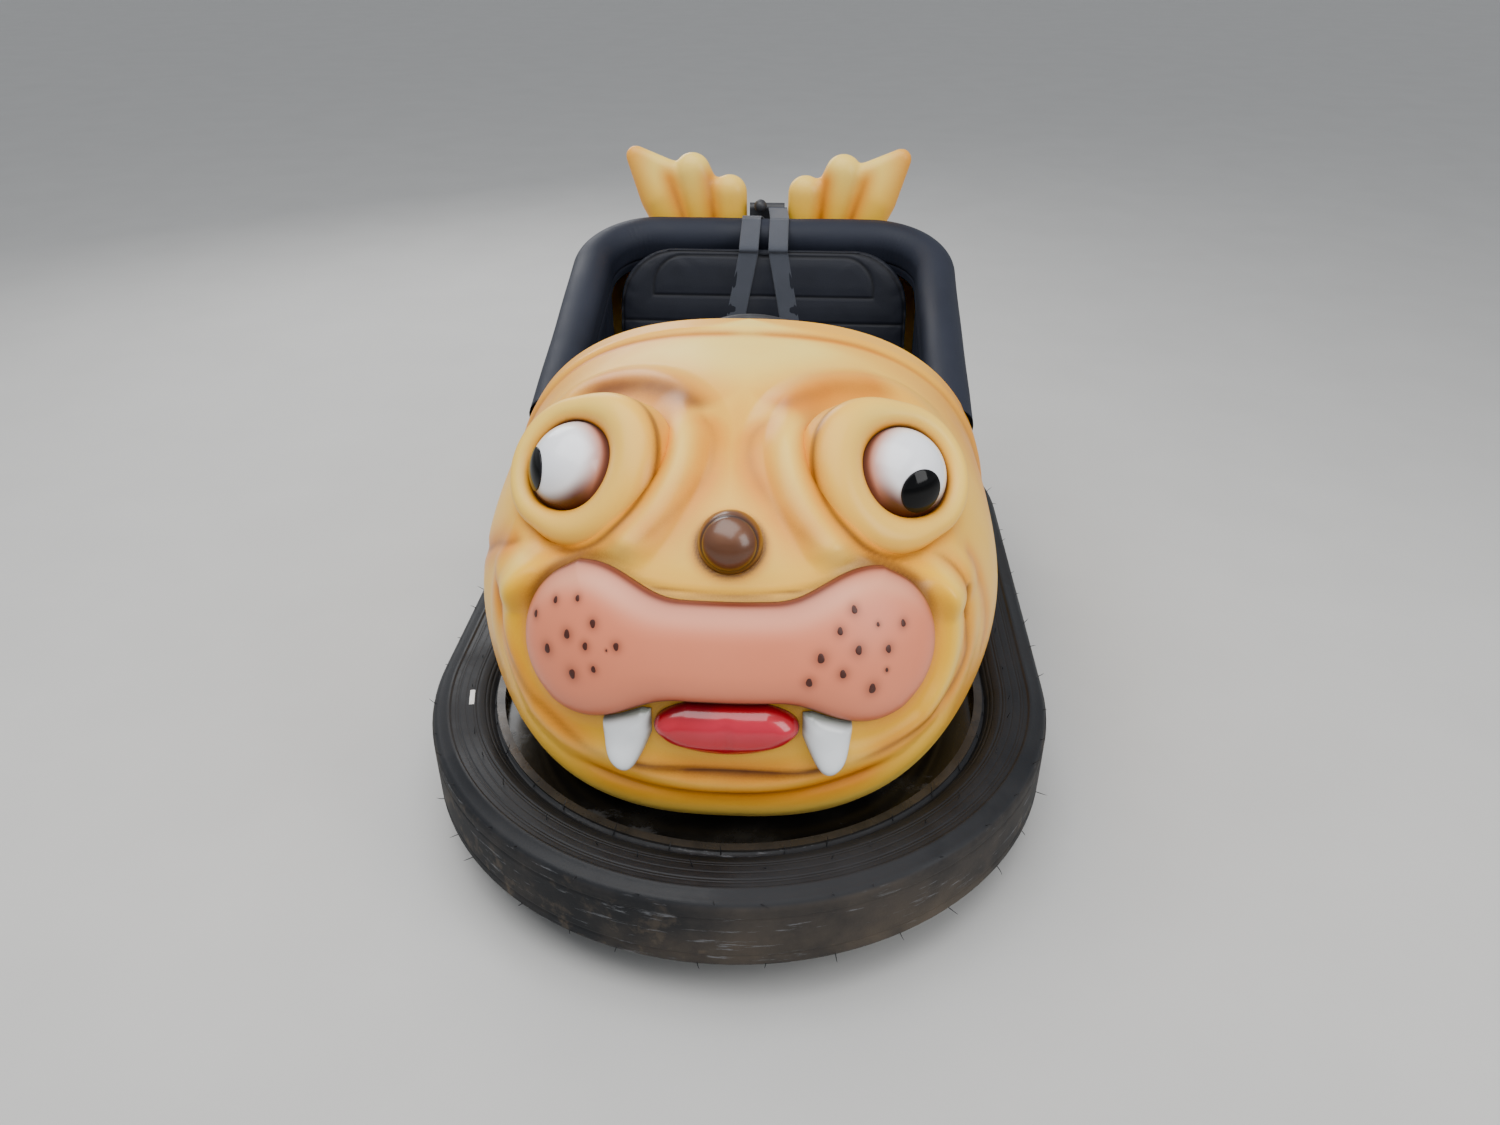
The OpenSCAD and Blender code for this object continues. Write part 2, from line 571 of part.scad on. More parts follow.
// Pieces laid on the face: columns across the piece, each cut off where the outline is.
// edge is the outline, in degrees from the face's middle; spine is a line inside it.
function cut(edge, at, dir, lo = 0, hi = 40, n = 16) = n == 0 ? lo
    : let(m = (lo + hi) / 2, p = at + m * dir)
    edge(p[0], p[1]) < 0 ? cut(edge, at, dir, m, hi, n - 1) : cut(edge, at, dir, lo, m, n - 1);
module face_patch(edge, spine, thick, gap, round, across, up) {
    left = spine[0] - cut(edge, spine, [-1, 0]);
    right = spine[0] + cut(edge, spine, [1, 0]);
    half = 0.996 * (right - left) / 2;
    strips = [for (i = [0 : across])
        let(t = (left + right) / 2 + half * sin(180 * i / across - 90), p = [t, spine[1]])
        [t, spine[1] - cut(edge, p, [0, -1]), spine[1] + cut(edge, p, [0, 1])]];
    at = function(i, j) let(c = strips[i])
        [c[0], (c[1] + c[2]) / 2 + (c[2] - c[1]) / 2 * sin(180 * j / up - 90)];
    inset = function(d) min(max(-edge(d[0], d[1]) / round, 0), 1);
    rise = function(d) 3 + (thick - 3) * sqrt(1 - pow(1 - inset(d), 2));
    point = function(d, h) let(t = d[0] + face_turn)
        head_c + (face_r(t, d[1]) + gap + h) * way(t, d[1]);
    back = function(i, j) i > 0 && i < across && j > 0 && j < up ? min(5, thick / 4) : 0;
    points = concat([for (i = [0 : across], j = [0 : up]) point(at(i, j), rise(at(i, j)))],
        [for (i = [0 : across], j = [0 : up]) point(at(i, j), back(i, j))]);
    f = function(i, j) i * (up + 1) + j;
    b = function(i, j) f(i, j) + (across + 1) * (up + 1);
    faces = [for (i = [0 : across - 1], j = [0 : up - 1]) each [
        [f(i, j), f(i, j + 1), f(i + 1, j + 1)], [f(i, j), f(i + 1, j + 1), f(i + 1, j)],
        [b(i, j), b(i + 1, j + 1), b(i, j + 1)], [b(i, j), b(i + 1, j), b(i + 1, j + 1)]]];
    ends = [for (i = [0 : across - 1]) each [
        [f(i, 0), f(i + 1, 0), b(i + 1, 0)], [f(i, 0), b(i + 1, 0), b(i, 0)],
        [f(i, up), b(i + 1, up), f(i + 1, up)], [f(i, up), b(i, up), b(i + 1, up)]]];
    sides = [for (j = [0 : up - 1]) each [
        [f(0, j), b(0, j), b(0, j + 1)], [f(0, j), b(0, j + 1), f(0, j + 1)],
        [f(across, j), b(across, j + 1), b(across, j)], [f(across, j), f(across, j + 1), b(across, j + 1)]]];
    polyhedron(points, concat(faces, ends, sides), convexity = 6);
}

module muzzle_pad() {
    color("#e2a186") face_patch(function(t, p) muzzle_edge(t, p), [0, 12.9], muzzle_t, patch_gap, 4, 32, 8);
}
module tongue() {
    color("#d01838") face_patch(function(t, p) max(tongue_edge(t, p), 0.25 - muzzle_edge(t, p)),
        [0, tongue_mid], tongue_t, tooth_gap, 2.6, 14, 6);
}
module fang(side) {
    color("#eef0f0") face_patch(
        function(t, p) max(fang_edge(max(t * side, 0), p), 0.3 - muzzle_edge(t, p), 0.3 - tongue_edge(t, p)),
        [side * fang_th, 3.1], fang_t, tooth_gap, 2.2, 6, 8);
}

nose_ph = 25.6;
module nose() {
    color("#5a3a22") toward(face_turn, nose_ph) translate([0, 0, form_r(0, nose_ph)]) sphere(r = nose_r);
}

module eyeball(side) {
    color("#f4f5f7") on_eye(side) translate([0, 0, -eye_sunk]) sphere(r = eye_r);
}
// Directions in which the two eyes look: far out to the side, and a little out and down ahead
look = [[-65, 13], [28, 7]];
pupil_t = 2.4;
module pupil(side) {
    to = look[side < 0 ? 0 : 1];
    at = eye_at - eye_sunk * eye_n;
    color("#0b0b0c") translate(head_c) rotate([0, 0, face_turn]) translate([side * at[0], at[1], at[2]])
        rotate([0, 0, to[0]]) rotate([90 - to[1], 0, 0]) difference() {
            intersection() {
                sphere(r = eye_r + seat_gap + pupil_t);
                cylinder(r = pupil_r, h = eye_r + 10);
            }
            sphere(r = eye_r + seat_gap);
        }
}

// Dashboard, column, wheel and pedal
dash_t = 12;
dash_low = 500;
dash_half = roll_half_w - roll_w / 2 - 8;
arch_y = -arch_ahead + seat_gap;
module dashboard() {
    inset = 12;
    half = head_half_w - inset;
    outline = [for (i = [0 : 32]) let(a = 180 * i / 32, c = cos(a), s = sin(a))
        [half * sign(c) * pow(abs(c), 2 / head_square), (head_up - inset) * pow(s, 2 / head_square)]];
    color("#2c2e35") difference() {
        translate([0, arch_y + dash_t, 0]) rotate([90, 0, 0]) linear_extrude(height = dash_t) intersection() {
            translate([0, head_mid_z]) polygon(outline);
            translate([-dash_half, dash_low]) square([2 * dash_half, 400]);
        }
        on_shaft() translate([0, 0, -500]) cylinder(r = column_r + seat_gap, h = 500);
    }
}

column_r = 24;
column_near = 62;                        // from the wheel's middle to the column's upper end
column_far = 300;
module steering_column() {
    flange_s = (wheel_back + arch_ahead - dash_t) / cos(column_tilt) - 26;
    color("#33353b") on_shaft() difference() {
        union() {
            translate([0, 0, -column_far]) cylinder(r = column_r, h = column_far - column_near);
            translate([0, 0, -flange_s]) cylinder(r = column_r + 14, h = 8);
        }
        translate([0, 0, -column_far - 1]) cylinder(d = shaft_d + 2 * seat_gap, h = column_far + 2);
    }
}

module steering_wheel() {
    spoke_in = 20;
    color("#232428") on_shaft() {
        rotate_extrude($fn = 96) translate([wheel_d / 2, 0]) circle(d = wheel_rim_d, $fn = 32);
        for (a = [90, 210, 330]) rotate([0, 0, a]) translate([spoke_in, -13, -26])
            rotate([0, -9, 0]) cube([wheel_d / 2 - spoke_in, 26, 6]);
        translate([0, 0, -34]) cylinder(r = 36, h = 26);
        translate([0, 0, -column_near + 6]) cylinder(r = 20, h = 40);
        translate([0, 0, -shaft_to_box - 28]) cylinder(d = shaft_d, h = shaft_to_box);
    }
}

toe_room = 53;                           // between the drive well's wall and the foot of the toe board
toe_back = drive_ahead - well_r - well_t - toe_room;
toe_lean = 25;
toe_size = [620, 10, 130];
module toe_board() {
    color("#2c2e35") translate([0, -toe_back, deck_z + seat_gap]) rotate([toe_lean, 0, 0])
        translate([-toe_size[0] / 2, -toe_size[1], toe_size[1] * tan(toe_lean)]) cube(toe_size);
}

pedal_x = 75;
module pedal() {
    color("#8b8e93") translate([pedal_x, -toe_back + 48, deck_z + seat_gap]) {
        translate([-35, -22, 0]) cube([70, 60, 5]);
        for (x = [-30, 24]) translate([x, -6, 0]) cube([6, 20, 22]);
        translate([-34, 4, 16]) rotate([0, 90, 0]) cylinder(r = 6, h = 68);
        translate([-32, 0, 12]) rotate([38, 0, 0]) cube([64, 6, 104]);
    }
}

// Rear body: a wall that follows the rim and swells behind it
shell_half = roll_half_w + 20;
shell_back = roll_back + 20;
shell_corner = roll_corner + 20;
function roll_z(y) = roll_front_z + (y + arch_ahead) * tan(roll_slope);
side_run = shell_back - shell_corner + arch_ahead - 2 * seat_gap;
// A point and its outward direction along the wall, t from 0 at the right front to 1 at the left front
function wall_at(t) = t > 0.5 ? let(m = wall_at(1 - t)) [[-m[0][0], m[0][1]], [-m[1][0], m[1][1]]]
    : t < 0.15 ? [[shell_half, -arch_ahead + 2 * seat_gap + side_run * t / 0.15], [1, 0]]
    : t < 0.35 ? let(a = 90 * (t - 0.15) / 0.2, out = [cos(a), sin(a)])
        [[shell_half - shell_corner, shell_back - shell_corner] + shell_corner * out, out]
    : [[(shell_half - shell_corner) * (0.5 - t) / 0.15, shell_back], [0, 1]];
// Rows of the wall, rim to deck: share of the swelling at the sides, then behind, and share of the height
wall_rows = [[0, 0, 1], [0.3, 0.3, 1], [0.5, 0.62, 1], [0.62, 0.82, 0.965], [0.8, 0.93, 0.87],
    [0.95, 1, 0.68], [1, 1, 0.46], [0.92, 0.92, 0.2], [0.6, 0.8, 0.09], [0.3, 0.7, 0]];
side_swell = 48;
deck_top = deck_z + seat_gap;
// A point drawn in to at most r from the middle line of the deck
function inside_ring(p, r) = let(v = [p[0], max(p[1] - half_run, 0)])
    norm(v) > r ? v * r / norm(v) + [0, min(p[1], half_run)] : p;
function wall_point(t, row, inner) = let(
    w = wall_at(t),
    rear = pow(w[1][1], 2),
    thick = inner ? wall_t : 0,
    q = w[0] + (side_swell * row[0] * (1 - rear) + rump * row[1] * rear - thick) * w[1],
    p = row[2] < 0.1 ? inside_ring(q, deck_r - 8 - thick) : q,
    top = roll_z(min(w[0][1], p[1])) - seat_gap / cos(roll_slope))
    [p[0], p[1], deck_top + (top - deck_top) * row[2] - (row[0] > 0 && row[2] == 1 ? thick : 0)];
module rear_shell() {
    stations = concat([for (i = [0 : 4]) 0.15 * i / 4], [for (i = [1 : 7]) 0.15 + 0.2 * i / 7],
        [for (i = [1 : 6]) 0.35 + 0.3 * i / 6], [for (i = [1 : 7]) 0.65 + 0.2 * i / 7],
        [for (i = [1 : 4]) 0.85 + 0.15 * i / 4]);
    ns = len(stations);
    nr = len(wall_rows);
    points = [for (inner = [false, true], t = stations, r = wall_rows) wall_point(t, r, inner)];
    o = function(i, j) i * nr + j;
    n = function(i, j) ns * nr + i * nr + j;
    faces = [for (i = [0 : ns - 2], j = [0 : nr - 2]) each [
        [o(i, j), o(i + 1, j), o(i + 1, j + 1)], [o(i, j), o(i + 1, j + 1), o(i, j + 1)],
        [n(i, j), n(i + 1, j + 1), n(i + 1, j)], [n(i, j), n(i, j + 1), n(i + 1, j + 1)]]];
    rims = [for (i = [0 : ns - 2]) each [
        [o(i, 0), n(i, 0), n(i + 1, 0)], [o(i, 0), n(i + 1, 0), o(i + 1, 0)],
        [o(i, nr - 1), o(i + 1, nr - 1), n(i + 1, nr - 1)], [o(i, nr - 1), n(i + 1, nr - 1), n(i, nr - 1)]]];
    ends = [for (j = [0 : nr - 2]) each [
        [o(0, j), o(0, j + 1), n(0, j + 1)], [o(0, j), n(0, j + 1), n(0, j)],
        [o(ns - 1, j), n(ns - 1, j + 1), o(ns - 1, j + 1)], [o(ns - 1, j), n(ns - 1, j), n(ns - 1, j + 1)]]];
    color("#f0d59a") polyhedron(points, concat(faces, rims, ends), convexity = 8);
}

// Padded rim: a D-shaped roll that lies in one sloping plane
module on_rim() {
    translate([0, -arch_ahead, roll_front_z]) rotate([roll_slope, 0, 0]) children();
}
module roll_section() {
    top = roll_h - roll_w / 2;
    intersection() {
        translate([-roll_w / 2, 0]) square([roll_w, roll_h]);
        union() {
            translate([0, top]) circle(d = roll_w, $fn = 48);
            translate([-roll_w / 2, -1]) square([roll_w, top + 1]);
        }
    }
}
rim_len = (roll_back + arch_ahead) / cos(roll_slope);
rim_run = rim_len - roll_corner;
module rim_roll() {
    over = 30;                           // the roll's ends are cut upright at the arch
    color("#33353d") difference() {
        on_rim() {
            for (s = [0, 1]) mirror([s, 0, 0]) {
                translate([roll_half_w, rim_run, 0]) rotate([90, 0, 0])
                    linear_extrude(height = rim_run + over) roll_section();
                translate([roll_half_w - roll_corner, rim_run, 0]) rotate_extrude(angle = 90, $fn = 72)
                    translate([roll_corner, 0]) roll_section();
            }
            translate([0, rim_len, 0]) rotate([90, 0, 90])
                linear_extrude(height = 2 * (roll_half_w - roll_corner), center = true) roll_section();
        }
        translate([-beyond / 2, arch_y - beyond, 0]) cube(beyond);
    }
}

pad_t = 26;
pad_back = 470;
module side_pads() {
    y0 = arch_y + dash_t + 6;
    top = function(y) roll_z(y) - seat_gap / cos(roll_slope);
    color("#25262c") for (s = [-1, 1]) translate([s * (pad_face + pad_t / 2), 0, 0]) rotate([90, 0, 90])
        linear_extrude(height = pad_t, center = true)
            polygon([[y0, deck_top], [pad_back, deck_top], [pad_back, top(pad_back)], [y0, top(y0)]]);
}

// Seat: a box over the battery, a cushion and a back rest
seat_front = 175;
back_foot = 410;                         // front face of the back rest at the cushion's top
board_t = 15;
box_top = seat_z - cushion_t - seat_gap;
module seat_box() {
    color("#232429") rotate([90, 0, 90]) linear_extrude(height = seat_w - 12, center = true) difference() {
        translate([seat_front + 18, deck_top]) square([back_foot + 70 - seat_front - 18, box_top - deck_top]);
        translate([seat_front + 18 + board_t, deck_top - 1])
            square([back_foot + 70 - seat_front - 18 - 2 * board_t, box_top - deck_top - board_t + 1]);
    }
}

battery_size = [340, 172, 128];
module battery() {
    color("#3a3c40") translate([-battery_size[0] / 2, seat_front + 60, deck_top]) cube(battery_size);
}

module seat_cushion() {
    r = 24;
    y0 = seat_front + r;
    y1 = back_foot - 2;
    low = seat_z - cushion_t;
    lean = cushion_t * tan(recline);
    color("#2a2c33") rotate([90, 0, 90]) linear_extrude(height = seat_w, center = true) union() {
        polygon([[y0, low], [y1 - lean, low], [y1, seat_z], [y0, seat_z]]);
        translate([seat_front, low]) square([r + 1, cushion_t - r]);
        translate([y0, seat_z - r]) circle(r = r);
    }
}

back_low = box_top + seat_gap;
back_high = 812;
back_corner = 135;
groove = 5;
// Children drawn in the XY plane lie on the back rest's front face, Y up along it from the cushion's top.
module on_back() {
    translate([0, back_foot, seat_z]) rotate([90 - recline, 0, 0]) children();
}
back_len = (back_high - seat_z) / cos(recline);
module rounded_panel(half, low, high, r) {
    union() {
        translate([-half, low]) square([2 * half, high - r - low]);
        translate([-half + r, high - r - 1]) square([2 * (half - r), r + 1]);
        for (s = [-1, 1]) translate([s * (half - r), high - r]) circle(r = r);
    }
}
module seam_ring(half, low, high, r) {
    difference() {
        rounded_panel(half, low, high, r);
        rounded_panel(half - groove, low + groove, high - groove, r - groove);
    }
}
module seat_back() {
    half = seat_w / 2;
    color("#2a2c33") difference() {
        on_back() translate([0, 0, -back_t]) linear_extrude(height = back_t)
            rounded_panel(half, -(seat_z - back_low) / cos(recline) - 40, back_len, back_corner);
        translate([-beyond / 2, 0, 0]) cube([beyond, beyond, back_low]);
        // sewn grooves: the edge of the facing, one raised panel across both riders, and the line under it
        on_back() translate([0, 0, -groove]) linear_extrude(height = groove + 1) {
            seam_ring(half - 18, -200, back_len - 18, back_corner - 18);
            seam_ring(215, 190, 285, 40);
            translate([-half + 20, 128]) square([2 * half - 40, groove]);
        }
        // the valley between the two riders
        on_back() translate([0, -100, 14]) rotate([-90, 0, 0]) cylinder(r = 22, h = 600);
    }
}

// Tail: two three-lobed fins on the shelf behind the rim
shelf_z = roll_z(shell_back) - seat_gap;
fin_y = shell_back + 58;
// Each lobe: root x, tip x, tip height above the shelf, tip radius, root radius
fin_lobes = [[232, 330, 236, 25, 56], [168, 204, 222, 46, 56], [106, 108, 186, 42, 52]];
module rear_fin(side) {
    color("#f3dc9f") intersection() {
        translate([0, fin_y, shelf_z]) mirror([side < 0 ? 1 : 0, 0, 0]) union() {
            for (l = fin_lobes) hull() {
                translate([l[0], 0, 20]) scale([1, 0.62, 1]) sphere(r = l[4], $fn = 12);
                translate([(l[0] + l[1]) / 2 - 4, 0, l[2] * 0.5]) scale([1, 0.66, 1])
                    sphere(r = l[4], $fn = 12);
                translate([l[1] - l[3] * 0.2, 0, l[2] - l[3]]) scale([1, 0.7, 1]) sphere(r = l[3], $fn = 12);
            }
        }
        translate([-beyond / 2, fin_y - beyond / 2, shelf_z + seat_gap + 0.2]) cube(beyond);
    }
}

guide_w = 84;
guide_top = 884;
module belt_guide() {
    y0 = shell_back + 30;
    color("#1f2024") {
        translate([-guide_w / 2, y0, shelf_z + seat_gap]) cube([guide_w, 26, guide_top - shelf_z - 26]);
        translate([-guide_w / 2, y0 + 13, guide_top - 26]) rotate([0, 90, 0]) cylinder(r = 13, h = guide_w);
        translate([-15, y0 - 15, guide_top - 14]) sphere(r = 15);
        translate([-15, y0 + 1, guide_top - 14]) rotate([90, 0, 0]) cylinder(r = 8, h = 8);
    }
}

// Belts: flat straps from the guide over the rim and down the back rest
// Each station: distance behind the middle, height, and distance of the strap's middle from the car's.
roll_mid = [roll_back - (roll_h - roll_w / 2) * sin(roll_slope),
    roll_z(roll_back) + (roll_h - roll_w / 2) * cos(roll_slope)];
strap_r = (roll_w / 2 + seat_gap) * 1.017;       // its flat stretches just clear the roll
function on_roll(a) = roll_mid + strap_r * [cos(a), sin(a)];
function touch(p, way) = let(d = p - roll_mid) atan2(d[1], d[0]) + way * acos(strap_r / norm(d));
function back_point(up) = [back_foot, seat_z]
    + up * [sin(recline), cos(recline)] + seat_gap * [-cos(recline), sin(recline)];
over_back = back_point(back_len) + [0, seat_gap];
from_guide = [shell_back + 30 - strap_t, guide_top - 22];
from_slot = [shell_back + 30 - strap_t, guide_top - 50];
a_back = touch(over_back, -1);
down_back = concat(
    [for (k = [0 : 7]) let(up = 8 + (back_len - 8 - 16) * k / 7) concat(back_point(up), 112 - 76 * k / 7)],
    [concat(over_back, 34)]);
module belt(side) {
    end = side < 0 ? from_slot : from_guide;
    a_end = touch(end, 1);
    over_roll = [for (k = [0 : 5]) concat(on_roll(a_back + (a_end - a_back) * k / 5), 29)];
    path = concat(down_back, over_roll, [concat(end, 26)]);
    n = len(path);
    along = [for (i = [0 : n - 1])
        let(d = path[min(i + 1, n - 1)] - path[max(i - 1, 0)]) [d[0], d[1]] / norm([d[0], d[1]])];
    ring = [for (i = [0 : n - 1]) let(p = path[i], up = strap_t * [-along[i][1], along[i][0]])
        each [for (c = [[-1, 0], [1, 0], [1, 1], [-1, 1]])
            [side * p[2] + c[0] * strap_w / 2, p[0] + up[0] * c[1], p[1] + up[1] * c[1]]]];
    sides = [for (i = [0 : n - 2], q = [0 : 3]) let(a = 4 * i + q, b = 4 * i + (q + 1) % 4)
        each [[a, b, b + 4], [a, b + 4, a + 4]]];
    last = 4 * (n - 1);
    color("#4a4e58") polyhedron(ring, concat([[3, 2, 1, 0], [last, last + 1, last + 2, last + 3]], sides));
}

bumper_tyre();
bumper_band();
deck_plate();
frame_rails();
frame_crossmembers();
frame_outriggers();
drive_well();
steering_bearing();
steering_gearbox();
drive_yoke();
drive_motor();
drive_wheel_rim();
drive_wheel_tyre();
rear_hangers();
rear_axle();
rear_wheel_rim(-1);  // rear_wheel_rim_left
rear_wheel_rim(1);  // rear_wheel_rim_right
rear_wheel_tyre(-1);  // rear_wheel_tyre_left
rear_wheel_tyre(1);  // rear_wheel_tyre_right
head_shell();
muzzle_pad();
tongue();
fang(-1);  // fang_left
fang(1);  // fang_right
nose();
eyeball(-1);  // eyeball_left
eyeball(1);  // eyeball_right
pupil(-1);  // pupil_left
pupil(1);  // pupil_right
dashboard();
steering_column();
steering_wheel();
toe_board();
pedal();
rear_shell();
rim_roll();
side_pads();
seat_box();
battery();
seat_cushion();
seat_back();
rear_fin(-1);  // rear_fin_left
rear_fin(1);  // rear_fin_right
belt_guide();
belt(-1);  // belt_left
belt(1);  // belt_right
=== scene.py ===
import math
import random

import bmesh
import bpy
import numpy as np
from mathutils import Matrix, Vector


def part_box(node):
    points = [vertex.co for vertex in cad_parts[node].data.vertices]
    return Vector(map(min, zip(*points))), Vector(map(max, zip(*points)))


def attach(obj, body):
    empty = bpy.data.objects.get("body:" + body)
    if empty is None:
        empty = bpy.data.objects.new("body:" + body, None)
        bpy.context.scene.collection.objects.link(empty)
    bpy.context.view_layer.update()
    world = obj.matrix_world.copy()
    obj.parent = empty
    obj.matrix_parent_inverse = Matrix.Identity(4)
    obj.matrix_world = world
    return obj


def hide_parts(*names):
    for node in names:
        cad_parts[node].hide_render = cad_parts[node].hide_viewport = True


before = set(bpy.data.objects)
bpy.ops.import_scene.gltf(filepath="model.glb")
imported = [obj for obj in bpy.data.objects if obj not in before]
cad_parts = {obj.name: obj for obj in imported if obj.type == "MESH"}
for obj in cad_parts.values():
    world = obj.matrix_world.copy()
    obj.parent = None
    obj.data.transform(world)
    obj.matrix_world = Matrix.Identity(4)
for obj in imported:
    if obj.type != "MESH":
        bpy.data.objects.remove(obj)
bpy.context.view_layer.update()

# Studio: a plain pale floor, three soft panels of light and a pale sky. The camera stands where the photograph
# was taken, a little over a metre ahead of the bumper and a metre and a half up, and looks down at the face
# through a wide phone lens.
camera_at = (0.125, -2.125, 1.53)
camera_down = 31.0
camera_left = 3.43
camera_lens = 27.04
sensor_width = 36.0
sky_strength = 0.62
floor_half = 70.0


def rgb(red, green, blue):
    """A colour as the eye names it, 0 to 255, turned into the linear values that a shader takes"""
    def linear(value):
        share = value / 255
        return share / 12.92 if share <= 0.04045 else ((share + 0.055) / 1.055) ** 2.4
    return (linear(red), linear(green), linear(blue), 1.0)


def put(tree, kind, feeds=None, **settings):
    """A new shader node with its settings. Each input named in feeds gets a value or is wired to a socket."""
    made = tree.nodes.new("ShaderNode" + kind)
    for key, value in settings.items():
        setattr(made, key, value)
    for key, value in (feeds or {}).items():
        if isinstance(value, bpy.types.NodeSocket):
            tree.links.new(value, made.inputs[key])
        else:
            made.inputs[key].default_value = value
    return made


def tint(tree, share, under, over):
    """The colour over laid on the colour under, by a share from 0 to 1"""
    return put(tree, "Mix", {0: share, 6: under, 7: over}, data_type="RGBA").outputs[2]


def new_group(name, inputs, outputs):
    """A shader node group with its named inputs (name, kind, value) and outputs (name, kind)"""
    tree = bpy.data.node_groups.new(name, "ShaderNodeTree")
    for label, kind, value in inputs:
        socket = tree.interface.new_socket(label, in_out="INPUT", socket_type="NodeSocket" + kind)
        socket.default_value = value
    for label, kind in outputs:
        tree.interface.new_socket(label, in_out="OUTPUT", socket_type="NodeSocket" + kind)
    return tree, tree.nodes.new("NodeGroupInput").outputs, tree.nodes.new("NodeGroupOutput").inputs


def placed(tree, group, **values):
    """The group's outputs in a material. Names are given with low lines for their spaces."""
    made = tree.nodes.new("ShaderNodeGroup")
    made.node_tree = group
    for key, value in values.items():
        socket = made.inputs[key.replace("_", " ").capitalize()]
        if isinstance(value, bpy.types.NodeSocket):
            tree.links.new(value, socket)
        else:
            socket.default_value = value
    return made.outputs


# Soft irregular patches in the object's own space, as values around a half
patches, into, out = new_group("soft_patches", [("Scale", "Float", 5.0), ("Detail", "Float", 4.0)],
                               [("Value", "Float")])
patches.links.new(put(patches, "TexNoise", {"Vector": put(patches, "TexCoord").outputs["Object"],
                                            "Scale": into["Scale"], "Detail": into["Detail"],
                                            "Roughness": 0.55}).outputs[0], out["Value"])


def clouds(tree, scale, detail=4.0):
    return placed(tree, patches, scale=scale, detail=detail)["Value"]


def material(name, roughness, **plain):
    """A new material: its node tree and its shader, with what is the same all over set on the shader"""
    made = bpy.data.materials.new(name)
    made.use_nodes = True
    tree = made.node_tree
    shader = tree.nodes["Principled BSDF"]
    shader.inputs["Roughness"].default_value = roughness
    for key, value in plain.items():
        shader.inputs[key.replace("_", " ").title().replace("Ior", "IOR")].default_value = value
    return made, tree, shader.inputs


def area_light(name, place, aim, width, height, power):
    """A soft panel of white light, sizes in metres and power in watts"""
    data = bpy.data.lights.new(name, "AREA")
    data.shape = "RECTANGLE"
    data.size = width
    data.size_y = height
    data.energy = power
    lamp = bpy.data.objects.new(name, data)
    bpy.context.scene.collection.objects.link(lamp)
    lamp.location = place
    lamp.rotation_euler = (Vector(aim) - Vector(place)).to_track_quat("-Z", "Y").to_euler()


camera_data = bpy.data.cameras.new("camera")
camera_data.lens = camera_lens
camera_data.sensor_width = sensor_width
camera = bpy.data.objects.new("camera", camera_data)
camera.location = camera_at
camera.rotation_euler = (math.radians(90 - camera_down), 0, math.radians(camera_left))
bpy.context.scene.collection.objects.link(camera)
bpy.context.scene.camera = camera

area_light("sky_panel", (-0.5, -0.9, 3.6), (0, -0.1, 0.4), 4.2, 3.2, 146)
area_light("window_panel", (2.8, -2.2, 2.2), (0, -0.3, 0.5), 1.6, 2.2, 50)
area_light("back_panel", (-1.8, 3.0, 2.4), (0, 0.4, 0.6), 2.6, 1.8, 56)
world = bpy.data.worlds.new("studio")
world.use_nodes = True
bpy.context.scene.world = world
world.node_tree.nodes["Background"].inputs[0].default_value = rgb(226, 230, 236)
world.node_tree.nodes["Background"].inputs[1].default_value = sky_strength

floor_mesh = bpy.data.meshes.new("floor")
floor_mesh.from_pydata([(x * floor_half, y * floor_half, 0) for x, y in ((-1, -1), (1, -1), (1, 1), (-1, 1))],
                       [], [(0, 1, 2, 3)])
floor = bpy.data.objects.new("floor", floor_mesh)
bpy.context.scene.collection.objects.link(floor)
floor_finish, tree, shader = material("pale_floor", 0.8)
tree.links.new(tint(tree, clouds(tree, 3.0), rgb(196, 195, 192), rgb(206, 205, 202)), shader["Base Color"])
floor_mesh.materials.append(floor_finish)

# Bumper tyre: one thick hollow ring of black carcass rubber round the whole car, moulded like a cart tyre.
# Its beads sit on the steel band. Thin ribs run round its side, vent hairs from the mould still stand on it,
# and its tread face is rubbed brown and grey from knocks. A bare white label lies on the side.
mm = 0.001
tyre_low, tyre_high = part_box("bumper_tyre")
end_r = tyre_high.x
half_run = tyre_high.y - end_r
tyre_mid = (tyre_low.z + tyre_high.z) / 2
tyre_half = 75 * mm
tyre_depth = 130 * mm
bead_r = end_r - tyre_depth
bead_half = tyre_half - 13 * mm
shoulder_r = 17 * mm
# Ribs round the side and grooves round the tread: place, height and half width of each
rib_rows = [[bead_r + 24 * mm, 1.2 * mm, 1.4 * mm], [bead_r + 31 * mm, 0.9 * mm, 1.2 * mm],
            [bead_r + 47 * mm, 1.3 * mm, 1.8 * mm], [bead_r + 52 * mm, 0.9 * mm, 1.2 * mm],
            [bead_r + 66 * mm, 0.7 * mm, 1.2 * mm], [bead_r + 80 * mm, 1.0 * mm, 1.6 * mm],
            [bead_r + 85 * mm, 0.8 * mm, 1.2 * mm], [end_r - 19 * mm, 1.0 * mm, 1.6 * mm]]
tread_rows = [[40 * mm, 1.6 * mm, 2.2 * mm], [33 * mm, -1.2 * mm, 2.0 * mm]]


def arc(centre, radius, start, end, count):
    """Points along an arc, in degrees"""
    turns = np.radians(np.linspace(start, end, count + 1))
    return [(centre[0] + radius * math.cos(a), centre[1] + radius * math.sin(a)) for a in turns]


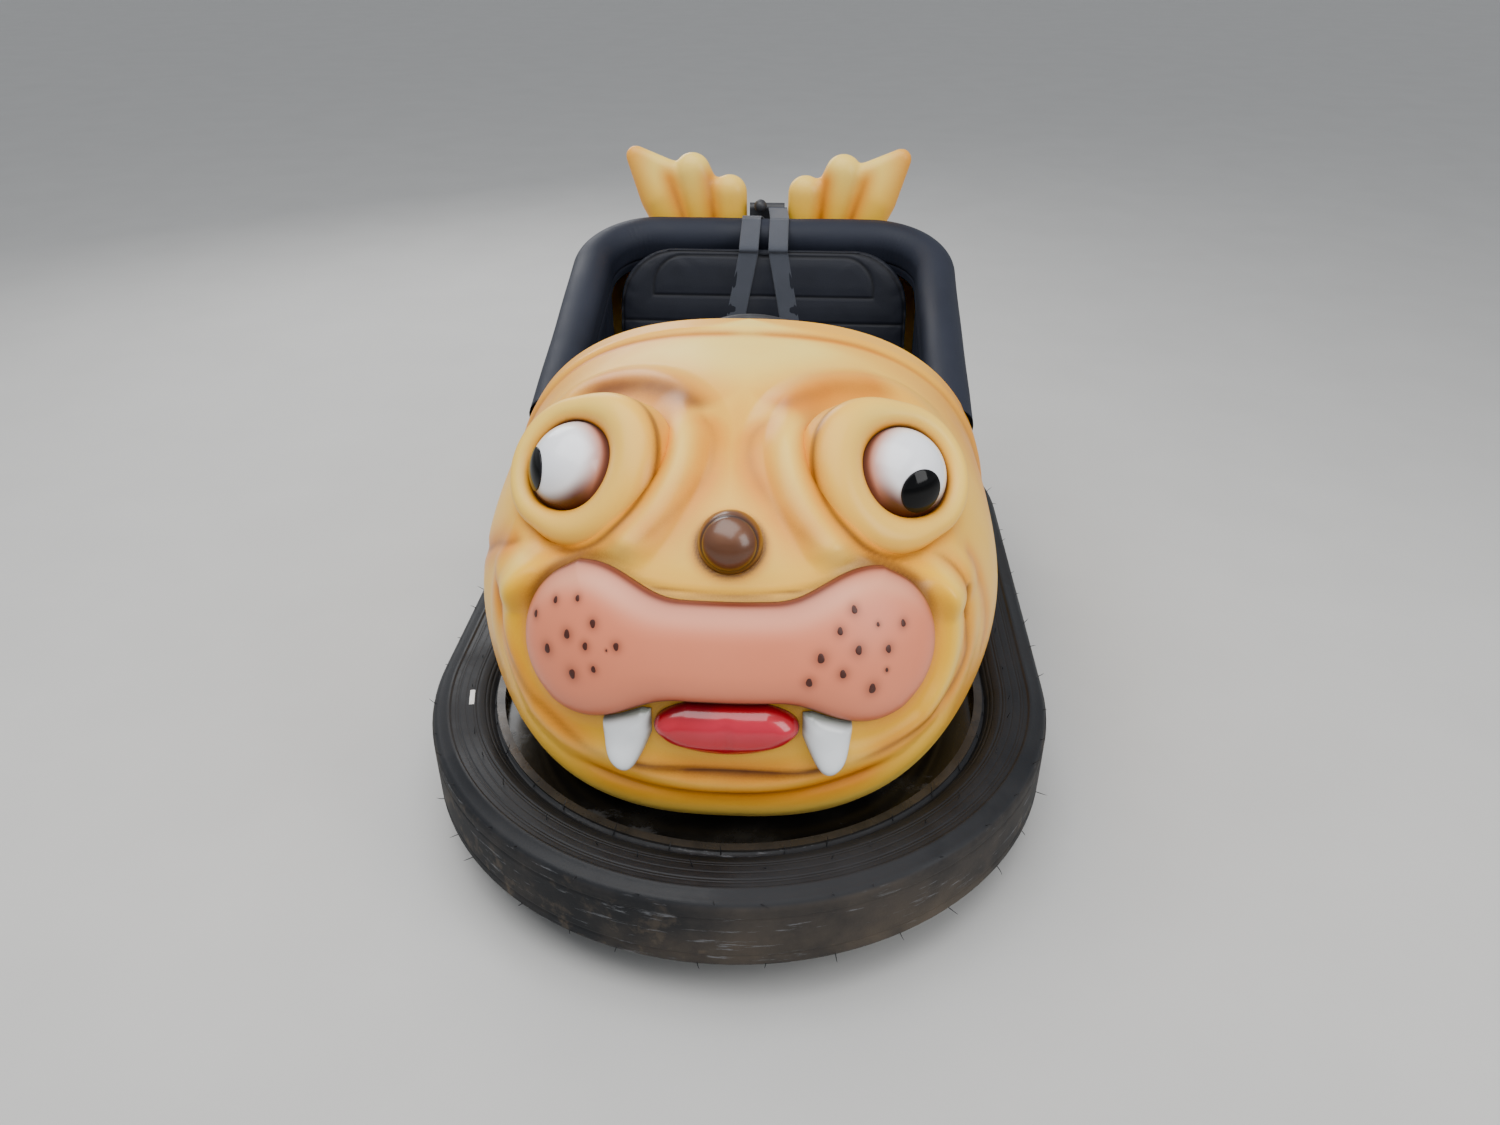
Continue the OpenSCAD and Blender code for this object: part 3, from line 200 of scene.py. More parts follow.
def dense(points, step):
    """The outline's points with more along its straights, so that no two are further apart than a step"""
    made = []
    for a, b in zip(points[:-1], points[1:]):
        count = max(1, math.ceil(math.dist(a, b) / step))
        made += [(a[0] + (b[0] - a[0]) * k / count, a[1] + (b[1] - a[1]) * k / count) for k in range(count)]
    return made + [points[-1]]


def along_normals(outline, heights):
    """An outline pushed out along its own normals"""
    ahead = np.roll(outline, -1, 0) - np.roll(outline, 1, 0)
    length = np.maximum(np.hypot(ahead[:, 0], ahead[:, 1]), 1e-9)
    return outline + heights[:, None] * np.stack([ahead[:, 1], -ahead[:, 0]], 1) / length[:, None]


def mesh_piece(name, points, faces, body="car", smooth=True):
    """A mesh piece in the frame's own place, riding on a body"""
    mesh = bpy.data.meshes.new(name)
    mesh.from_pydata(np.asarray(points, float).tolist(), [], [list(map(int, f)) for f in faces])
    mesh.update()
    if smooth:
        mesh.shade_smooth()
    made = bpy.data.objects.new(name, mesh)
    bpy.context.scene.collection.objects.link(made)
    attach(made, body)
    return made


def grid_faces(rows, columns, close_rows=False, close_columns=False, start=0):
    """Quads between points laid out row by row. A closed direction joins its last line to its first."""
    r = np.arange(rows if close_rows else rows - 1)
    c = np.arange(columns if close_columns else columns - 1)
    r, c = (v.ravel() for v in np.meshgrid(r, c, indexing="ij"))
    r1, c1 = (r + 1) % rows, (c + 1) % columns
    return (start + np.stack([r * columns + c, r * columns + c1, r1 * columns + c1, r1 * columns + c], 1)).tolist()


def mask(piece, name, values):
    """Keeps one number for each point of a mesh, for its material to read"""
    kept = piece.data.attributes.new(name, "FLOAT", "POINT")
    kept.data.foreach_set("value", np.asarray(values, np.float32).ravel())


def reading(tree, name):
    return put(tree, "Attribute", attribute_name=name).outputs["Fac"]


end_steps = 64
side_steps = 36


def track_rings(outline):
    """An outline of (distance from the end's middle, height) carried once round the bumper"""
    turn = np.linspace(0, 180, end_steps + 1)
    run = np.linspace(half_run, -half_run, side_steps + 1)[1:-1]
    stations = [(a, half_run) for a in turn] + [(180, s) for s in run]
    stations += [(a + 180, -half_run) for a in turn] + [(360, -s) for s in run]
    rings = [[(r * math.cos(math.radians(a)), s + r * math.sin(math.radians(a)), tyre_mid + z)
              for r, z in outline] for a, s in stations]
    return np.array(rings)


top_side = dense([(bead_r, bead_half), (bead_r + 13 * mm, bead_half)], 3 * mm)
top_side += dense(arc((bead_r + 52 * mm, tyre_half - 42 * mm), 42 * mm, 150, 92, 16)
                  + [(end_r - 36 * mm, tyre_half - 2 * mm)], 1.0 * mm)
top_side += [(end_r - 34 * mm, tyre_half + 0.6 * mm), (end_r - 32 * mm, tyre_half + 1 * mm),
             (end_r - 28 * mm, tyre_half + 0.4 * mm), (end_r - 26 * mm, tyre_half - 1.6 * mm)]
top_side += dense(arc((end_r - shoulder_r, tyre_half - 5 * mm - shoulder_r), shoulder_r, 75, 5, 14)
                  + [(end_r, 0)], 2.2 * mm)
tyre_outline = np.array(top_side + [(r, -z) for r, z in top_side[-2::-1]])
tyre_ribs = sum(h * np.exp(-((tyre_outline[:, 0] - at) / w) ** 2) for at, h, w in rib_rows)
tyre_ribs = tyre_ribs * (np.abs(tyre_outline[:, 1]) > tyre_half - 45 * mm)
tyre_ribs += sum(h * np.exp(-((np.abs(tyre_outline[:, 1]) - at) / w) ** 2) for at, h, w in tread_rows) \
    * (tyre_outline[:, 0] > end_r - 3 * mm)
tyre_outline = along_normals(tyre_outline, tyre_ribs * (np.abs(tyre_outline[:, 1]) < tyre_half + 2 * mm))
tyre_outline = np.array([(min(r, end_r), min(max(z, -tyre_half - mm), tyre_half + mm)) for r, z in tyre_outline])
tyre_rings = track_rings(tyre_outline)
bumper_tyre = mesh_piece("bumper_tyre_moulded", tyre_rings.reshape(-1, 3),
                         grid_faces(len(tyre_rings), len(tyre_outline), True, True))
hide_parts("bumper_tyre")
tyre_across = np.tile(tyre_outline[:, 0] - bead_r, len(tyre_rings))
tyre_height = np.tile(tyre_outline[:, 1], len(tyre_rings))
mask(bumper_tyre, "across", tyre_across)
mask(bumper_tyre, "height", tyre_height)


def sums(tree, operation, first, second=0.0, clamp=False):
    return put(tree, "Math", {0: first, 1: second}, operation=operation, use_clamp=clamp).outputs[0]


def level(tree, value, low, high, out_low=0.0, out_high=1.0):
    """The value taken from low..high to out_low..out_high, softly, and held at its ends"""
    return put(tree, "MapRange", {0: value, 1: low, 2: high, 3: out_low, 4: out_high},
               interpolation_type="SMOOTHSTEP").outputs[0]


def relief(tree, shader, height, distance, strength):
    """Fine unevenness of the surface, by a height from 0 to 1 and how many metres that is"""
    bump = put(tree, "Bump", {"Height": height, "Distance": distance, "Strength": strength})
    tree.links.new(bump.outputs[0], shader["Normal"])


def dress(node, made):
    """Gives a piece of the frame its finish"""
    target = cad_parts[node] if isinstance(node, str) else node
    target.data.materials.clear()
    target.data.materials.append(made)


# Dirt that has settled in patches: the higher the amount, the more of it
dust, into, out = new_group("settled_dust", [("Scale", "Float", 4.0), ("Amount", "Float", 0.4),
                                             ("Softness", "Float", 0.25)], [("Mask", "Float")])
spread = put(dust, "TexNoise", {"Vector": put(dust, "TexCoord").outputs["Object"], "Scale": into["Scale"],
                                "Detail": 7.0, "Roughness": 0.62}).outputs[0]
edge = sums(dust, "SUBTRACT", 1.0, into["Amount"])
dust.links.new(put(dust, "MapRange", {0: spread, 1: sums(dust, "SUBTRACT", edge, into["Softness"]),
                                      2: sums(dust, "ADD", edge, into["Softness"])},
                   interpolation_type="SMOOTHSTEP").outputs[0], out["Mask"])

# Fine grain of a moulded or sprayed surface, as a height
grain, into, out = new_group("fine_grain", [("Scale", "Float", 400.0), ("Coarse", "Float", 0.3)],
                             [("Height", "Float")])
place = put(grain, "TexCoord").outputs["Object"]
pores = put(grain, "TexVoronoi", {"Vector": place, "Scale": into["Scale"]}).outputs["Distance"]
waves = put(grain, "TexNoise", {"Vector": place, "Scale": sums(grain, "MULTIPLY", into["Scale"], 0.25),
                                "Detail": 3.0}).outputs[0]
grain.links.new(put(grain, "Mix", {0: into["Coarse"], 2: pores, 3: waves}).outputs[0], out["Height"])


def grained(tree, shader, scale, coarse, distance, strength):
    relief(tree, shader, placed(tree, grain, scale=scale, coarse=coarse)["Height"], distance, strength)


# Thin scratches and rubs, as a mask, drawn out along one way
scuffs, into, out = new_group("scuff_marks", [("Scale", "Float", 12.0), ("Amount", "Float", 0.3),
                                              ("Along", "Vector", (1.0, 1.0, 1.0))], [("Mask", "Float")])
place = put(scuffs, "VectorMath", {0: put(scuffs, "TexCoord").outputs["Object"], 1: into["Along"]},
            operation="MULTIPLY").outputs[0]
lines = put(scuffs, "TexNoise", {"Vector": place, "Scale": into["Scale"], "Detail": 9.0,
                                 "Roughness": 0.72}).outputs[0]
limit = sums(scuffs, "SUBTRACT", 0.72, sums(scuffs, "MULTIPLY", into["Amount"], 0.3))
scuffs.links.new(put(scuffs, "MapRange", {0: lines, 1: limit, 2: sums(scuffs, "ADD", limit, 0.06)}).outputs[0],
                 out["Mask"])

carcass_rubber, tree, shader = material("carcass_rubber", 0.62, specular_ior_level=0.3)
old = placed(tree, dust, scale=3.2, amount=0.42, softness=0.16)["Mask"]
fine_dirt = placed(tree, dust, scale=26.0, amount=0.4, softness=0.1)["Mask"]
rubs = placed(tree, scuffs, scale=9.0, amount=0.42, along=(1.0, 1.0, 9.0))["Mask"]
on_tread = level(tree, reading(tree, "across"), tyre_depth - 6 * mm, tyre_depth - 1 * mm)
on_lip = level(tree, reading(tree, "across"), 26 * mm, 12 * mm)
low_down = level(tree, reading(tree, "height"), 50 * mm, -60 * mm)
rubber = tint(tree, clouds(tree, 5.0), rgb(17, 18, 21), rgb(27, 29, 33))
rubber = tint(tree, sums(tree, "MULTIPLY", old, 0.3), rubber, rgb(66, 66, 68))
lower_half = sums(tree, "ADD", sums(tree, "MULTIPLY", low_down, 0.5), 0.5)
trodden = sums(tree, "MULTIPLY", on_tread, lower_half)
tread_dirt = sums(tree, "MULTIPLY", sums(tree, "MAXIMUM", old, fine_dirt), trodden, True)
rubber = tint(tree, sums(tree, "MULTIPLY", tread_dirt, 0.75), rubber, rgb(92, 80, 66))
rubbed = sums(tree, "MULTIPLY", rubs, sums(tree, "MAXIMUM", on_tread, on_lip))
rubber = tint(tree, sums(tree, "MULTIPLY", rubbed, 0.6), rubber, rgb(120, 122, 126))
tree.links.new(rubber, shader["Base Color"])
tree.links.new(level(tree, sums(tree, "MAXIMUM", old, on_tread), 0.0, 1.0, 0.42, 0.72), shader["Roughness"])
grained(tree, shader, 260.0, 0.6, 0.5 * mm, 0.6)
dress(bumper_tyre, carcass_rubber)

# Rows of hairs: distance from the end's middle, height, how far they point outward and upward, and how many
hair_dice = random.Random(7)
hair_rows = [[bead_r + 14 * mm, 62 * mm, -0.5, 1.0, 44], [bead_r + 58 * mm, 74 * mm, 0.1, 1.0, 46],
             [end_r - 8 * mm, 66 * mm, 0.75, 0.65, 52], [end_r - 1 * mm, -58 * mm, 1.0, -0.25, 46]]
hair_thick = 0.8 * mm
hair_length = (9, 17)
hair_taper = (1, 1, 0.9, 0.7, 0.2)


def tube(path, radii, sides):
    """Points and quads of a thin tube along a path, closed at its ends by drawing them in"""
    path = np.asarray(path, float)
    ahead = np.gradient(path, axis=0)
    ahead /= np.maximum(np.linalg.norm(ahead, axis=1), 1e-9)[:, None]
    points = []
    side = np.cross(ahead[0], [0.31, 0.52, 0.79])
    for at, go, radius in zip(path, ahead, radii):
        side = side - go * (side @ go)
        side /= max(np.linalg.norm(side), 1e-9)
        up = np.cross(go, side)
        points += [at + radius * (math.cos(a) * side + math.sin(a) * up)
                   for a in np.linspace(0, 2 * math.pi, sides + 1)[:-1]]
    return points, grid_faces(len(path), sides, False, True)


def joined(parts):
    """Several (points, faces) as one"""
    points, faces = [], []
    for p, f in parts:
        faces += [[i + len(points) for i in face] for face in f]
        points += list(p)
    return points, faces


def track_point(share, r, z):
    """A point at a share of the way round the bumper, with the outward direction there"""
    straight = 2 * half_run
    length = 2 * straight + 2 * math.pi * end_r
    along = share % 1 * length
    for turn, middle in ((0, half_run), (180, -half_run)):
        if along < math.pi * end_r:
            a = math.radians(turn) + along / end_r
            out = Vector((math.cos(a), math.sin(a), 0))
            return Vector((0, middle, 0)) + out * r + Vector((0, 0, tyre_mid + z)), out
        along -= math.pi * end_r
        if along < straight:
            out = Vector((-1 if turn == 0 else 1, 0, 0))
            return Vector((out.x * r, (half_run - along) * (1 if turn == 0 else -1), tyre_mid + z)), out
        along -= straight
    return track_point(0, r, z)


hairs = []
for r, z, outward, upward, count in hair_rows:
    for k in range(count):
        root, out = track_point((k + hair_dice.uniform(-0.3, 0.3)) / count, r, z)
        go = (out * outward + Vector((0, 0, upward)) + Vector([hair_dice.uniform(-0.35, 0.35) for _ in range(3)]))
        go.normalize()
        length = hair_dice.uniform(*hair_length) * mm
        lean = Vector([hair_dice.uniform(-0.4, 0.4) for _ in range(3)])
        path = [root + go * length * t + lean * length * t * t for t in (-0.3, 0, 0.4, 0.75, 1.0)]
        hairs.append(tube(path, [share * hair_thick for share in hair_taper], 5))
vent_hairs = mesh_piece("vent_hairs", *joined(hairs))
dress(vent_hairs, carcass_rubber)

label_middle = (-496 * mm, -477 * mm)
label_size = (9 * mm, 44 * mm)
label_turn = math.radians(12)
label_points = []
for u in np.linspace(-0.5, 0.5, 4):
    for v in np.linspace(-0.5, 0.5, 12):
        x = label_middle[0] + u * label_size[0] * math.cos(label_turn) - v * label_size[1] * math.sin(label_turn)
        y = label_middle[1] + u * label_size[0] * math.sin(label_turn) + v * label_size[1] * math.cos(label_turn)
        r = math.hypot(x, max(abs(y) - half_run, 0))
        side = tyre_outline[tyre_outline[:, 1] > 0]
        order = np.argsort(side[:, 0])
        label_points.append((x, y, tyre_mid + np.interp(r, side[order, 0], side[order, 1]) + 0.35 * mm))
label = mesh_piece("bare_label", label_points, grid_faces(4, 12))


def soiled(name, roughness, patch, clean, dirty, share=1.0, ends=None, **plain):
    """A finish of two colours, clean and under settled dust. Patch is the dust's scale, amount and softness, share
    is how far it covers, and ends are the roughness of the clean and the dusty surface."""
    made, tree, shader = material(name, roughness, **plain)
    settled = placed(tree, dust, **dict(zip(("scale", "amount", "softness"), patch)))["Mask"]
    cover = sums(tree, "MULTIPLY", settled, share)
    tree.links.new(tint(tree, cover, rgb(*clean), rgb(*dirty)), shader["Base Color"])
    if ends:
        tree.links.new(level(tree, settled, 0.0, 1.0, *ends), shader["Roughness"])
    return made, tree, shader


label_paper, tree, shader = soiled("label_paper", 0.55, (90.0, 0.42, 0.1), (232, 232, 230), (176, 174, 170), 0.5)
dress(label, label_paper)

# Steel band: a rolled strip, 4 mm thick, bent once round the car with its edges turned out as lips.
# The tyre's beads sit on it. Black gloss paint, scraped to bright steel along both lips.
band_steel, tree, shader = material("band_steel", 0.3)
across = put(tree, "SeparateXYZ", {0: put(tree, "TexCoord").outputs["Object"]}).outputs
lip = level(tree, sums(tree, "ABSOLUTE", sums(tree, "SUBTRACT", across["Z"], tyre_mid)),
            bead_half - 4 * mm, bead_half + 1 * mm)
scraped = level(tree, clouds(tree, 9.0, 5.0), 0.36, 0.66, 0.12, 0.7)
bare = sums(tree, "MULTIPLY", scraped, lip)
scratched = placed(tree, scuffs, scale=5.0, amount=0.25, along=(1.0, 1.0, 7.0))["Mask"]
bare = sums(tree, "MAXIMUM", sums(tree, "MULTIPLY", bare, 0.85), sums(tree, "MULTIPLY", scratched, 0.35))
tree.links.new(tint(tree, bare, rgb(20, 20, 22), rgb(104, 98, 92)), shader["Base Color"])
tree.links.new(bare, shader["Metallic"])
tree.links.new(level(tree, clouds(tree, 14.0), 0.3, 0.7, 0.18, 0.42), shader["Roughness"])
relief(tree, shader, clouds(tree, 30.0, 3.0), 0.6 * mm, 0.3)
dress("bumper_band", band_steel)

# Deck: a plate of 4 mm steel let into the band, sprayed gloss black. Feet and parts laid on it have
# dulled it in pale scuffs, and dust lies where no one wipes.
deck_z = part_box("deck_plate")[1].z
deck_gloss, tree, shader = material("deck_gloss", 0.22)
trodden = placed(tree, scuffs, scale=7.0, amount=0.45, along=(1.0, 1.6, 1.0))["Mask"]
dusty = placed(tree, dust, scale=6.0, amount=0.38, softness=0.2)["Mask"]
black = tint(tree, sums(tree, "MULTIPLY", trodden, 0.22), rgb(17, 17, 19), rgb(128, 128, 130))
black = tint(tree, sums(tree, "MULTIPLY", dusty, 0.18), black, rgb(120, 116, 108))
tree.links.new(black, shader["Base Color"])
tree.links.new(level(tree, sums(tree, "MAXIMUM", trodden, dusty), 0.0, 1.0, 0.16, 0.55), shader["Roughness"])
relief(tree, shader, clouds(tree, 18.0, 2.0), 0.8 * mm, 0.25)
dress("deck_plate", deck_gloss)

# Frame: two long rails with cross members and outriggers, all of 40 mm square steel tube, welded
# under the deck and brushed with flat black paint that the floor's dust has greyed.
frame_paint, tree, shader = material("frame_paint", 0.55)
under_dust = placed(tree, dust, scale=7.0, amount=0.5, softness=0.2)["Mask"]
specks = placed(tree, dust, scale=60.0, amount=0.36, softness=0.06)["Mask"]
coat = tint(tree, sums(tree, "MULTIPLY", under_dust, 0.4), rgb(34, 35, 38), rgb(96, 92, 86))
coat = tint(tree, sums(tree, "MULTIPLY", specks, 0.5), coat, rgb(104, 72, 48))
tree.links.new(coat, shader["Base Color"])
tree.links.new(level(tree, under_dust, 0.0, 1.0, 0.45, 0.8), shader["Roughness"])
grained(tree, shader, 300.0, 0.7, 0.3 * mm, 0.5)
for node in ("frame_rails", "frame_crossmembers", "frame_outriggers", "rear_hangers"):
    dress(node, frame_paint)


# Drive unit: one steered wheel in a drum that is bolted over the hole in the deck. A cast bearing on the drum
# carries the yoke's spindle, the steering gear stands on the bearing, and the motor hangs on the yoke's arm.
cast_metal, tree, shader = soiled("cast_metal", 0.5, (12.0, 0.45, 0.15), (142, 144, 148), (84, 82, 80),
                                  ends=(0.35, 0.6), metallic=0.85)
grained(tree, shader, 220.0, 0.5, 0.5 * mm, 0.6)
gear_paint, tree, shader = soiled("gear_paint", 0.42, (10.0, 0.42, 0.12), (92, 96, 104), (46, 44, 42),
                                  ends=(0.45, 0.28))
grained(tree, shader, 240.0, 0.6, 0.4 * mm, 0.5)
dress("drive_well", frame_paint)
dress("steering_bearing", cast_metal)
dress("steering_gearbox", gear_paint)
dress("drive_yoke", frame_paint)
dress("drive_motor", gear_paint)


def hex_bolt(at, axis, across_flats, height):
    """A hexagon head on its washer, both with their edges taken off. Axis is the way the head points."""
    turn = Vector(axis).to_track_quat("Z", "Y").to_matrix()
    shape = []
    for radius, low, high, sides in ((0.9 * across_flats, 0, height * 0.22, 24),
                                     (across_flats / math.sqrt(3), height * 0.22, height, 6)):
        rings = [(radius, low), (radius, high - 0.12 * height), (0.88 * radius, high), (0.01 * mm, high)]
        points = [tuple(Vector(at) + turn @ Vector((r * math.cos(a), r * math.sin(a), z)))
                  for r, z in rings for a in np.linspace(0, 2 * math.pi, sides + 1)[:-1]]
        shape.append((points, grid_faces(len(rings), sides, False, True)))
    return joined(shape)


def bolt_circle(middle, radius, count, turn):
    """Places of bolts round a level circle"""
    return [(middle[0] + radius * math.cos(a), middle[1] + radius * math.sin(a), middle[2])
            for a in np.radians(turn) + np.linspace(0, 2 * math.pi, count + 1)[:-1]]


well_low, well_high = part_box("drive_well")
drive_middle = ((well_low.x + well_high.x) / 2, (well_low.y + well_high.y) / 2)
flange_r = (well_high.x - well_low.x) / 2 - 12 * mm
flange_bolts = [hex_bolt(p, (0, 0, 1), 10 * mm, 7 * mm)
                for p in bolt_circle((*drive_middle, well_low.z + 4 * mm), flange_r, 12, 15)]
well_bolts = mesh_piece("well_bolts", *joined(flange_bolts), smooth=False)
dress(well_bolts, cast_metal)
motor_low, motor_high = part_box("drive_motor")
motor_axis = (drive_middle[1], (motor_low.z + motor_high.z) / 2)
cover_bolt_r = 41 * mm
cover_bolts = [hex_bolt((motor_high.x - 12 * mm, motor_axis[0] + cover_bolt_r * math.cos(a),
                         motor_axis[1] + cover_bolt_r * math.sin(a)), (1, 0, 0), 7 * mm, 5 * mm)
               for a in np.linspace(0.4, 0.4 + 2 * math.pi, 5)[:-1]]
motor_bolts = mesh_piece("motor_bolts", *joined(cover_bolts), body="drive_unit", smooth=False)
dress(motor_bolts, cast_metal)

# Wheels: a solid rubber tyre pressed on a turned rim, one driven at the front and two on the rear axle.
# The floor's dust has settled on the rubber, and the bare metal is stained.
wheel_rubber, tree, shader = soiled("wheel_rubber", 0.7, (18.0, 0.46, 0.16), (40, 40, 43), (96, 93, 89), 0.6)
grained(tree, shader, 320.0, 0.5, 0.4 * mm, 0.7)
turned_metal, tree, shader = soiled("turned_metal", 0.36, (22.0, 0.4, 0.12), (176, 178, 181), (116, 108, 98),
                                    ends=(0.3, 0.55), metallic=0.9)
relief(tree, shader, clouds(tree, 220.0, 2.0), 0.15 * mm, 0.5)
for node in ("drive_wheel_tyre", "rear_wheel_tyre_left", "rear_wheel_tyre_right"):
    dress(node, wheel_rubber)
for node in ("drive_wheel_rim", "rear_wheel_rim_left", "rear_wheel_rim_right"):
    dress(node, turned_metal)
dress("rear_axle", turned_metal)

# Head: one laminated fibreglass moulding, bolted to the deck and the dashboard. It is enamelled cream, then
# airbrushed: tan in the hollows, brown in the creases, yellow round the mouth. A painted highlight lies on its top,
# crests and hem, and a painted shadow under the tongue and under the arch's lip. Seen from a point on the cockpit's
# arch, a direction is th degrees to the side and ph degrees up. The face's own middle is turned by a little.
head_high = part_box("head_shell")[1]
nose_foot = np.array((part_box("nose")[0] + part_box("nose")[1]) / 2)
nose_ring = (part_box("nose")[1].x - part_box("nose")[0].x) / 2 + 5 * mm
arch_y = head_high.y
head_middle = np.array([0.0, arch_y, 400 * mm])
head_half_w = 462 * mm
head_front = 755 * mm
head_up = 419 * mm
head_down = 332 * mm
head_square = 2.6
skirt_z = deck_z + 24 * mm
skin_t = 26 * mm
face_turn = 0.9
arch_lip = 9 * mm


def sin(a):
    return np.sin(np.radians(a))


def cos(a):
    return np.cos(np.radians(a))


def way(th, ph):
    th, ph = np.broadcast_arrays(np.asarray(th, float), np.asarray(ph, float))
    return np.stack([cos(ph) * sin(th), -cos(ph) * cos(th), sin(ph)], -1)


def form_r(th, ph):
    """Distance of the plain form from the head's middle"""
    rise = np.where(np.asarray(ph) > 0, head_up, head_down)
    return (np.abs(cos(ph) * sin(th) / head_half_w) ** head_square
            + np.abs(cos(ph) * cos(th) / head_front) ** head_square
            + np.abs(sin(ph) / rise) ** head_square) ** (-1 / head_square)


def ramp(x, a, b):
    t = np.clip((x - a) / (b - a), 0, 1)
    return t * t * (3 - 2 * t)


def hump(x, half):
    return np.maximum(cos(90 * np.clip(x / half, -1, 1)), 0) ** 1.4


def bell(x, w):
    return np.exp(-(x / w) ** 2)


def blend_min(a, b, k):
    return np.minimum(a, b) - (np.maximum(k - np.abs(a - b), 0) / k) ** 2 * k / 4


def oval_edge(x, y, half):
    k = np.hypot(x / half[0], y / half[1])
    return k * (k - 1) / np.maximum(np.hypot(x / half[0] ** 2, y / half[1] ** 2), 1e-4)


# Outlines of the mouth's pieces, in degrees from the face's middle: below zero is inside.
lobe = (18.0, 12.6)
lobe_r = 8.9
waist = (13.3, 5.6)
tongue_mid = 4.6
tongue_half = (8.2, 3.4)
fang_th = 11.5
fang_top = 6.2
fang_tip = -1.6
fang_half = 3.8
deg_len = 13.6 * mm


def muzzle_edge(f, p):
    return blend_min(np.hypot(np.abs(f) - lobe[0], p - lobe[1]) - lobe_r,
                     np.maximum(np.abs(f) - lobe[0], np.abs(p - waist[0]) - waist[1]), 5)


def tongue_edge(f, p):
    return oval_edge(f, p - tongue_mid, tongue_half)


def fang_edge(f, p):
    half = fang_half * np.maximum((p - fang_tip) / (fang_top - fang_tip), 0) ** 0.52
    return np.maximum(np.maximum(np.abs(np.abs(f) - fang_th) - half, p - fang_top), fang_tip - p)


def mouth_edge(f, p):
    return blend_min(muzzle_edge(f, p), tongue_edge(f, p), 2.5)


# Each eye looks out of a rolled lid that stands on its own axis.
eye_r = 80 * mm
eye_sunk = 31 * mm
lid_t = 40 * mm
eye_axis = (38, 40)
eye_at = 620 * mm * way(31.2, 32.6)
eye_n = way(*eye_axis)
eye_in = np.array([-cos(eye_axis[0]), -sin(eye_axis[0]), 0])
eye_up = -np.cross(eye_n, eye_in)
lid_in_r = eye_r * 0.94
lid_fat = 90 * mm
lid_fat_turn = 172
lid_sunk = 17 * mm


def lid_width(turn):
    """How wide the lid's roll is, by the turn from the side away from the nose"""
    return lid_t + (lid_fat - lid_t) * ramp(cos(turn - lid_fat_turn), -0.3, 1.0)


def lid_foot(turn):
    return lid_in_r + lid_width(turn)


def eye_view(f, p):
    """Distance from the eye's axis, turn round it, and depth of the lid's plane, on the face's right half"""
    w = way(np.abs(f), p)
    depth = (eye_at @ eye_n) / np.maximum(w @ eye_n, 0.05)
    q = depth[..., None] * w - eye_at
    return np.linalg.norm(q, axis=-1), np.degrees(np.arctan2(q @ eye_up, q @ eye_in)), depth


# Swellings of the face. The bags under the eyes and the brows' bulges: distance from the eye, half width, height.
# The mouth's folds: distance from the mouth, half width, height. The cheeks: middle to the side and up, their
# half widths both ways, in degrees, and height.
bag_away, bag_half, bag_high = 203 * mm, 50 * mm, 22 * mm
brow_away, brow_half, brow_high = 228 * mm, 74 * mm, 16 * mm
fold_rows = [[62 * mm, 54 * mm, 17 * mm], [142 * mm, 58 * mm, 6 * mm]]
cheek_rows = [[50, 17, 3, 15, 20 * mm], [64, 20, 0, 22, 12 * mm]]


def lids(f, p, r):
    """The face sunk flat for the lid, with a bag on the lid's nose side and a bulge above it"""
    d, turn, depth = eye_view(f, p)
    clear = ramp(deg_len * mouth_edge(f, p), 0, 50 * mm)
    return (np.minimum(depth - lid_sunk - r, 0) * (1 - ramp(d, 110 * mm, 175 * mm))
            + clear * bag_high * hump(d - bag_away, bag_half) * ramp(cos(turn + 25), -0.2, 0.6)
            + clear * brow_high * hump(d - brow_away, brow_half) * ramp(sin(turn), 0.1, 0.7))


def folds(f, p):
    """The folds round the mouth, which die away under the nose, at the mouth's edge and up the face"""
    d = deg_len * mouth_edge(f, p)
    under_nose = ramp(p, 14, 19) * (1 - ramp(np.abs(f), 9, 19))
    calm = ramp(d, 18 * mm, 60 * mm)
    return (calm * (1 - 0.85 * under_nose) * (1 - ramp(p, 8, 34) * 0.8)
            * sum(high * hump(d - away, half) for away, half, high in fold_rows))


def cheeks(f, p):
    return sum(high * bell(np.abs(f) - th, wide) * bell(p - ph, tall) for th, wide, ph, tall, high in cheek_rows)


def face_rise(th, ph, r):
    """How far the face stands out from the plain form. Near the arch there is only the lip."""
    y = r * cos(ph) * cos(th)
    f = th - face_turn
    return ((lids(f, ph, r) + folds(f, ph) + cheeks(f, ph)) * ramp(y, 40 * mm, 160 * mm)
            + arch_lip * (1 - ramp(y, 40 * mm, 66 * mm)))


def face_r(th, ph):
    r = form_r(th, ph)
    return r + face_rise(th, ph, r)


def on_face(f, p, lift=0.0):
    """A point of the skin, in a direction of the face"""
    f = np.asarray(f, float)
    return head_middle + (face_r(f + face_turn, p) + lift)[..., None] * way(f + face_turn, p)


